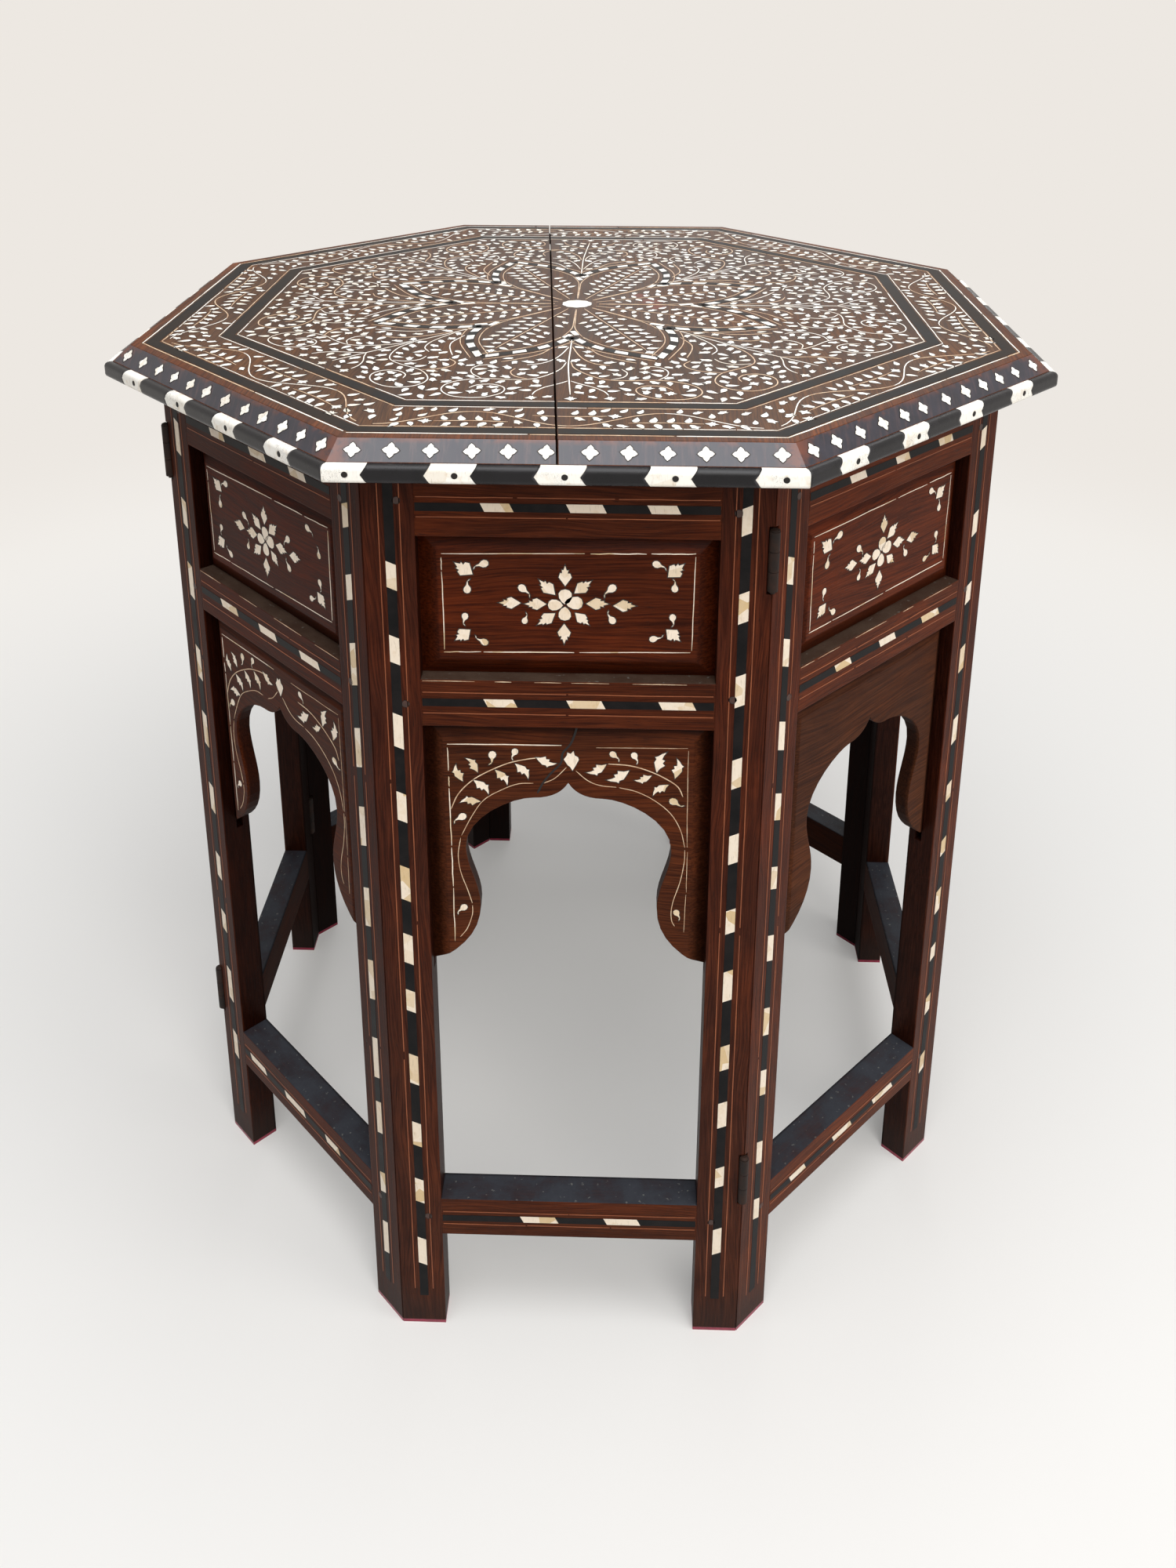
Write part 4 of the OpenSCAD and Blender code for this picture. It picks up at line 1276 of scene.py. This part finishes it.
class TABLE_OT_top_star(bpy.types.Operator):
    """Lays the rosette, the eight petals with chequered edges and the leaf rows inside them"""
    bl_idname = "table.top_star"
    bl_label = "Top Star"

    def execute(self, context):
        half_band, lean = sizes().star_band / MM / 2, 1.3
        bones, ebonies, vees, lines = [], [], [], []
        chance = random.Random(11)
        for side in range(8):
            for sign in (1, -1):
                turns = [(math.radians(t * sign), r) for t, r in PETAL_EDGE]
                walk, at = walked(curve([(r * math.sin(t), r * math.cos(t)) for t, r in turns], 6), sign)
                # bone and ebony by turns along the edge
                k, spot = 0, 0.2
                while spot < walk - 1:
                    end = min(spot + ((10.9 if k % 2 else 7.9) if k else 5.9) * chance.uniform(0.96, 1.04), walk)
                    if walk - end < 3:
                        end = walk
                    quad = [
                        at(spot + lean, half_band), at(spot - lean, -half_band),
                        at(end - lean, -half_band), at(end + lean, half_band),
                    ]
                    (bones if k % 2 else ebonies).append(quad_sheet(side, quad))
                    spot, k = end, k + 1
                for off in (half_band + 2.9, -half_band - 3.1):
                    lines.append(ribbon([on_top(side, *at(walk * j / 14, off)) for j in range(15)], 0.6, 0.5))
            vees += [quad_sheet(side, quad) for quad in VEES]
            for sign in (1, -1):
                lines.append(ribbon(curve([on_top(side, x * sign, y) for x, y in PARTING], 4), 0.6, 0.5))
        leaves = Leaves()
        sine, cosine = math.sin(HALF_TURN), math.cos(HALF_TURN)
        for side in range(8):
            # leaf rows on the petal's own axis: s out along it, t to the side
            for sign in (1, -1):
                for row, t in enumerate((5.2, 14.4, 23.4)):
                    s = 22.0 + (4.4 if row % 2 else 0)
                    while s < 127:
                        x, y = on_top(side, s * sine + sign * t * cosine, s * cosine - sign * t * sine)
                        fits = stepped(PETAL_ROOM, s, 0) - t > (9.6 if s > 75 else 4.2) and not near_seam(x, y, 4.2)
                        if fits and chance.random() > 0.015:
                            turn = side * TURN - math.radians(90) + HALF_TURN
                            turn += sign * (1.02 - 0.22 * row) + chance.uniform(-0.16, 0.16)
                            kind = chance.choice(KIND_CHANCES)
                            scale = chance.uniform(0.96, 1.1) * (0.75 if s < 38 else 0.92 if s < 55 else 1.0)
                            leaves.leaf(kind, sign < 0, x, y, turn, scale)
                        s += 8.2 if s < 45 else 9.8
            x, y = on_top(side, 132.5 * sine, 132.5 * cosine)
            if not near_seam(x, y, 4):
                leaves.diamond(x, y, side * TURN + HALF_TURN + 0.2, 0.95)
            route = [on_top(side, s * sine, s * cosine) for s in (15, 40, 70, 100, 126)]
            lines.append(ribbon(curve(route, 4), 0.6, 0.5))
        around = []
        for turn in (k * math.tau / ROSETTE_CORNERS for k in range(ROSETTE_CORNERS)):
            reach = 10.6 + 0.75 * abs(math.sin(turn * 5)) + 0.12 * math.sin(turn * 3 + 1)
            around.append((CENTRE[0] + reach * math.cos(turn), CENTRE[1] + reach * math.sin(turn)))
        leaves.made.append(plate("rosette", around, "mastic", "bone_top", lip=0.0005))
        chequers = (bones, ("ebony_top", "bone_top"), 0.0007), (ebonies, ("ebony_top",), 0)
        lay_on_top("star_edges", "bone", True, *chequers, (vees, ("mastic", "bone_top"), 0.0004))
        lay_on_top("star_lines", "bone", True, (lines, ("pale_line",), 0))
        leaves.lay("star_leaves")
        return {"FINISHED"}


# The field's vines on one half of a side, mirrored about the side's axis
FIELD_STEMS = [
    [(1.4, 146), (4.3, 160), (12.9, 174.3), (22.9, 182.9), (35.7, 184.3), (52.9, 182.9), (67, 188.6), (74.3, 197),
     (75.7, 208), (70, 217.6), (60, 221), (49, 219.4), (40, 211.4), (38.6, 201), (45.3, 194.6), (54.3, 195.9), (59.4, 202)],
    [(1.0, 186), (6, 191.5), (14.5, 199), (20, 207), (22, 214)],
    [(1.2, 112), (5, 128), (9.5, 140), (16.5, 149), (25.5, 152.5)],
    [(53, 182.4), (58.6, 173.5), (59.8, 163.5), (55.4, 155.4), (46.5, 153)],
    [(25, 182.5), (32.5, 177.5), (35.4, 168.5), (32.5, 160.5)],
    [(11, 112), (17.5, 127), (24, 134.5), (33, 141), (42, 146.5)],
]
FIELD_DIAMONDS = [(11.2, 123, 0.95), (22.6, 220, 1.0), (57.5, 209.5, 1.05), (46, 166.5, 1.0)]
# The slope of a side's half, as the random places were drawn with it
DRAWN_SLOPE = 0.4142


def apart(point, places, room):
    return all(
        abs(point[0] - x) > room or abs(point[1] - y) > room or math.dist(point, (x, y)) > room for x, y in places
    )


def field_leaves():
    """Leaves of one half side as (along, out, heading, size, hand, kind): beside the stems, then in the gaps."""
    chance = random.Random(3)
    stems = [curve(stem, 6) for stem in FIELD_STEMS] + [[(0, 95 + 3 * k) for k in range(40)]]
    dots = [p for stem in stems for p in stem]
    taken = [(a, o) for a, o, s in FIELD_DIAMONDS] + [(0, 221), (-11.2, 123), (-22.6, 220)]
    rows = []

    def fits(along, out, room, line_room):
        inside = 3.4 < along < out * SLOPE - 3.6 and out < 220.5
        petal = stepped(PETAL_EDGE, math.degrees(math.atan2(along, out)), None) if inside else None
        clear = petal is None or (math.hypot(along, out) - petal) * 0.72 > 10.4
        return inside and clear and apart((along, out), taken, room) and apart((along, out), dots, line_room)

    def take(along, out, heading, *sizes_drawn, hand=None):
        size = chance.uniform(*sizes_drawn)
        hand = chance.choice((1, -1)) if hand is None else hand
        rows.append((along, out, heading, size, hand, chance.choice(KIND_CHANCES)))
        taken.append((along, out))
    for stem in stems:
        walk, last = 0.0, 2.5
        for a, b in zip(stem, stem[1:]):
            walk += math.dist(a, b)
            if walk - last < 2.6:
                continue
            last = walk
            d = (Vector(b) - Vector(a)).normalized()
            for hand in (1, -1):
                p = Vector(b) + Vector((-d.y, d.x)) * hand * 5.5 + d * (2.2 if hand > 0 else 0)
                if fits(p.x, p.y, 7.9, 3.5):
                    heading = math.atan2(d.y, d.x) + hand * 0.85 + chance.uniform(-0.2, 0.2)
                    take(p.x, p.y, heading, 0.96, 1.12, hand=hand)
    for room in (9.4, 8.7, 8.2):
        for _ in range(3600):
            out = chance.uniform(96, 221.5)
            along = chance.uniform(2.4, out * DRAWN_SLOPE)
            if fits(along, out, room, 3.8):
                close = min(dots, key=lambda q: (q[0] - along) ** 2 + (q[1] - out) ** 2)
                heading = math.atan2(out - close[1], along - close[0]) + chance.uniform(0.5, 1.3)
                take(along, out, heading, 0.9, 1.1)
    return rows, stems[:-1]


class TABLE_OT_top_vines(bpy.types.Operator):
    """Fills the field round the star with stems, curling branches, leaves and small diamonds"""
    bl_idname = "table.top_vines"
    bl_label = "Top Vines"

    def execute(self, context):
        thick = sizes().bone_line / MM
        chance = random.Random(17)
        rows, stems = field_leaves()
        leaves, lines = Leaves(), Lines()
        for side in range(8):
            toward = side * TURN
            for sign in (1, -1):
                for along, out, heading, scale, hand, kind in rows:
                    along += chance.uniform(-0.5, 0.5)
                    out += chance.uniform(-0.5, 0.5)
                    x, y = on_top(side, along * sign, out)
                    # none on the seam, few lost by chance, none on the rubbed spot beside the rosette
                    if near_seam(x, y, 4.3) or chance.random() < 0.012 or math.dist((x, y), (47, 6)) < 4:
                        continue
                    # headings are from the along axis towards out, which runs down the side's own y
                    turn = toward - heading if sign > 0 else toward + heading + math.pi
                    turn += chance.uniform(-0.2, 0.2)
                    leaves.leaf(kind, hand * sign > 0, x, y, turn, scale * chance.uniform(0.94, 1.05))
                for along, out, scale in FIELD_DIAMONDS:
                    x, y = on_top(side, along * sign, out)
                    if not near_seam(x, y, 4.4):
                        leaves.diamond(x, y, toward + chance.uniform(-0.3, 0.3), scale * 0.9)
                for stem in stems:
                    route = [on_top(side, a * sign, o) for a, o in stem[::2]]
                    group = lines.pale if chance.random() < 0.45 else lines.bone
                    group.append(ribbon(route, thick * 0.9, 0.5))
            x, y = on_top(side, 0, 221)
            if not near_seam(x, y, 4.4):
                leaves.diamond(x, y, toward + 0.1, 0.9)
            route = [on_top(side, 0, out) for out in (96, 120, 150, 180, 213)]
            lines.bone.append(ribbon(curve(route, 4), thick * 0.95, 0.5))
        lines.lay("field_stems")
        leaves.lay("field_leaves")
        return {"FINISHED"}


# The border's vine waves about this distance, with two waves to a side
BORDER_MIDDLE, WAVE_MIDDLE, WAVE_HEIGHT = 254, 256.6, 11.2
WAVE = BORDER_MIDDLE * SLOPE


def wave(along):
    return WAVE_MIDDLE + WAVE_HEIGHT * math.cos(along / WAVE * math.tau)


class TABLE_OT_top_border(bpy.types.Operator):
    """Runs the waving vine with its leafy bays round the border of the top"""
    bl_idname = "table.top_border"
    bl_label = "Top Border"

    def execute(self, context):
        thick = sizes().bone_line / MM
        chance = random.Random(23)
        leaves, lines, spots = Leaves(), Lines(), []

        def free(x, y, room):
            return all(math.dist((x, y), spot) >= room for spot in spots)

        def leaf(side, along, out, heading, hand, scale):
            x, y = on_side(side, along, out)
            if near_seam(x, y, 4.4) or chance.random() < 0.015 or not free(x, y, 7.3):
                return
            spots.append((x, y))
            kind = chance.choice(KIND_CHANCES)
            turn = side * TURN - heading + chance.uniform(-0.14, 0.14)
            leaves.leaf(kind, hand > 0, x, y, turn, scale * chance.uniform(0.92, 1.08))
        for side in range(8):
            for start in (-WAVE, -WAVE / 2, 0, WAVE / 2):
                alongs = [start + WAVE / 2 * k / 10 for k in range(11)]
                group = lines.bone if chance.random() < 0.6 else lines.pale
                group.append(ribbon([on_side(side, along, wave(along)) for along in alongs], thick * 0.9, 0.7))
            # bays under the inner crests open outwards, those over the outer crests inwards
            for middle, inward, way in (
                (-WAVE / 2, False, -1), (0, True, 1), (WAVE / 2, False, 1), (-WAVE + 2, True, 1), (WAVE - 2, True, -1),
            ):
                corner = abs(middle) > WAVE * 0.7
                base = 251.2 if inward else 262.2
                near, far = middle - way * (2 if corner else 20), middle + way * (-24 if corner else 21)
                steps = 3 if corner else 4
                if corner:
                    way = -way
                else:
                    bow = 1.2 if inward else -1.2
                    path = [(near + (far - near) * k / 6, base + bow * math.sin(k / 6 * math.pi)) for k in range(7)]
                    lines.pale.append(ribbon([on_side(side, *p) for p in path], thick * 0.75, 0.4))
                for k in range(steps):
                    along = near + (far - near) * (k + 0.6) / (steps + 0.3)
                    for hand in (1, -1):
                        out = base + hand * 5.0
                        if 239.8 <= out <= 269 and abs(out - wave(along)) >= 3.2:
                            heading = (0.95 if way > 0 else math.pi - 0.95) * hand
                            leaf(side, along + hand * 1.2, out, heading, hand * way, 1.06)
                end = far + way * 4.2
                x, y = on_side(side, end, base)
                if not near_seam(x, y, 4.6) and abs(base - wave(end)) > 3.0 and free(x, y, 7.6):
                    spots.append((x, y))
                    leaves.diamond(x, y, side * TURN + chance.uniform(-0.3, 0.3), 0.95)
            # loose leaves that fill beside the vine
            for _ in range(900):
                out = chance.uniform(241.4, 267.6)
                along = chance.uniform(-out * DRAWN_SLOPE + 1.5, out * DRAWN_SLOPE - 1.5)
                if abs(out - wave(along)) > 4.2 and free(*on_side(side, along, out), 8.3):
                    beyond = 1 if out > wave(along) else -1
                    leaf(side, along, out, chance.uniform(0.4, 1.2) * beyond, beyond, 0.95)
        lines.lay("border_vine")
        leaves.lay("border_leaves")
        return {"FINISHED"}


# Where the quatrefoils stand along the front, and how far out
BLOOM_PLACES = (-111.5, -91.2, -70.4, -48.8, -29.8, -10.0, 12.8, 33.0, 53.2, 73.0, 91.0, 112.4)
BLOOM_OUT = 294.6
# The veneer's edges lie this far inside the bevel's, and its face this far above it
VENEER_ROOM, VENEER_PROUD = 0.25, 0.04


def on_bevel(piece, side, along, out, level=0.0):
    piece.data.transform(
        Matrix.Rotation(side * TURN, 4, "Z")
        @ Matrix.Translation((along * MM, -out * MM, (TOP_Z - BEVEL_DROP / 2) * MM))
        @ Matrix.Rotation(math.atan2(BEVEL_DROP, BEVEL_OUT - BEVEL_IN), 4, "X")
        @ Matrix.Translation((0, 0, level * MM))
    )
    return piece


class TABLE_OT_bevel_flowers(bpy.types.Operator):
    """Veneers the bevel of the top with ebony and sets the row of bone quatrefoils into it"""
    bl_idname = "table.bevel_flowers"
    bl_label = "Bevel Veneer and Quatrefoils"

    def execute(self, context):
        size = sizes()
        low, high = BEVEL_IN + VENEER_ROOM, BEVEL_OUT - VENEER_ROOM
        tall = (high - low) * math.hypot(1, BEVEL_DROP / (BEVEL_OUT - BEVEL_IN)) / 2
        near, far = low * SLOPE, high * SLOPE
        veneers = []
        for side in range(8):
            one = plate("veneer", [(-far, -tall), (far, -tall), (near, tall), (-near, tall)], "bevel_ebony")
            veneers.append(on_bevel(one, side, 0, (low + high) / 2, VENEER_PROUD - size.proud / MM))
        settle(cut_at_seam(join("bevel_veneer", veneers)), "top")
        outline = quatrefoil(size.quatrefoil / MM + 0.9)
        bloom = plate("bloom", outline, "mastic", "bone_rim", lip=size.mastic * 1.3)
        blooms = []
        for side in range(8):
            chance = random.Random(60 + side)
            for along in BLOOM_PLACES:
                along += chance.uniform(-1.4, 1.4) if side else 0
                one = copy_of(bloom, 0, 0, chance.uniform(-0.12, 0.12), chance.uniform(0.93, 1.05))
                blooms.append(on_bevel(one, side, along, BLOOM_OUT))
        settle(join("bevel_quatrefoils", blooms), "top")
        drop(bloom)
        return {"FINISHED"}


STEPS = (
    TABLE_OT_finishes, TABLE_OT_stage, TABLE_OT_frame_bands, TABLE_OT_panel_flowers, TABLE_OT_arch_branches, TABLE_OT_pegs,
    TABLE_OT_top_bands, TABLE_OT_top_star, TABLE_OT_top_vines, TABLE_OT_top_border, TABLE_OT_bevel_flowers,
)


class TABLE_PT_panel(bpy.types.Panel):
    """Lists the steps and sizes of the table"""
    bl_idname = "TABLE_PT_panel"
    bl_label = "Octagonal Table"
    bl_space_type = "VIEW_3D"
    bl_region_type = "UI"
    bl_category = "Table"

    def draw(self, context):
        for step in STEPS:
            self.layout.operator(step.bl_idname)
        for group in (context.scene.table_sizes, context.scene.table_colours):
            box = self.layout.box()
            for key in group.bl_rna.properties.keys():
                if key not in {"rna_type", "name"}:
                    box.prop(group, key)


CLASSES = (TABLE_PG_sizes, TABLE_PG_colours, *STEPS, TABLE_PT_panel)


def register():
    for kind in CLASSES:
        bpy.utils.register_class(kind)
    bpy.types.Scene.table_sizes = PointerProperty(type=TABLE_PG_sizes)
    bpy.types.Scene.table_colours = PointerProperty(type=TABLE_PG_colours)


def unregister():
    del bpy.types.Scene.table_colours
    del bpy.types.Scene.table_sizes
    for kind in reversed(CLASSES):
        bpy.utils.unregister_class(kind)


def main():
    register()
    for step in STEPS:
        group, name = step.bl_idname.split(".")
        getattr(getattr(bpy.ops, group), name)()


if __name__ == "__main__":
    main()
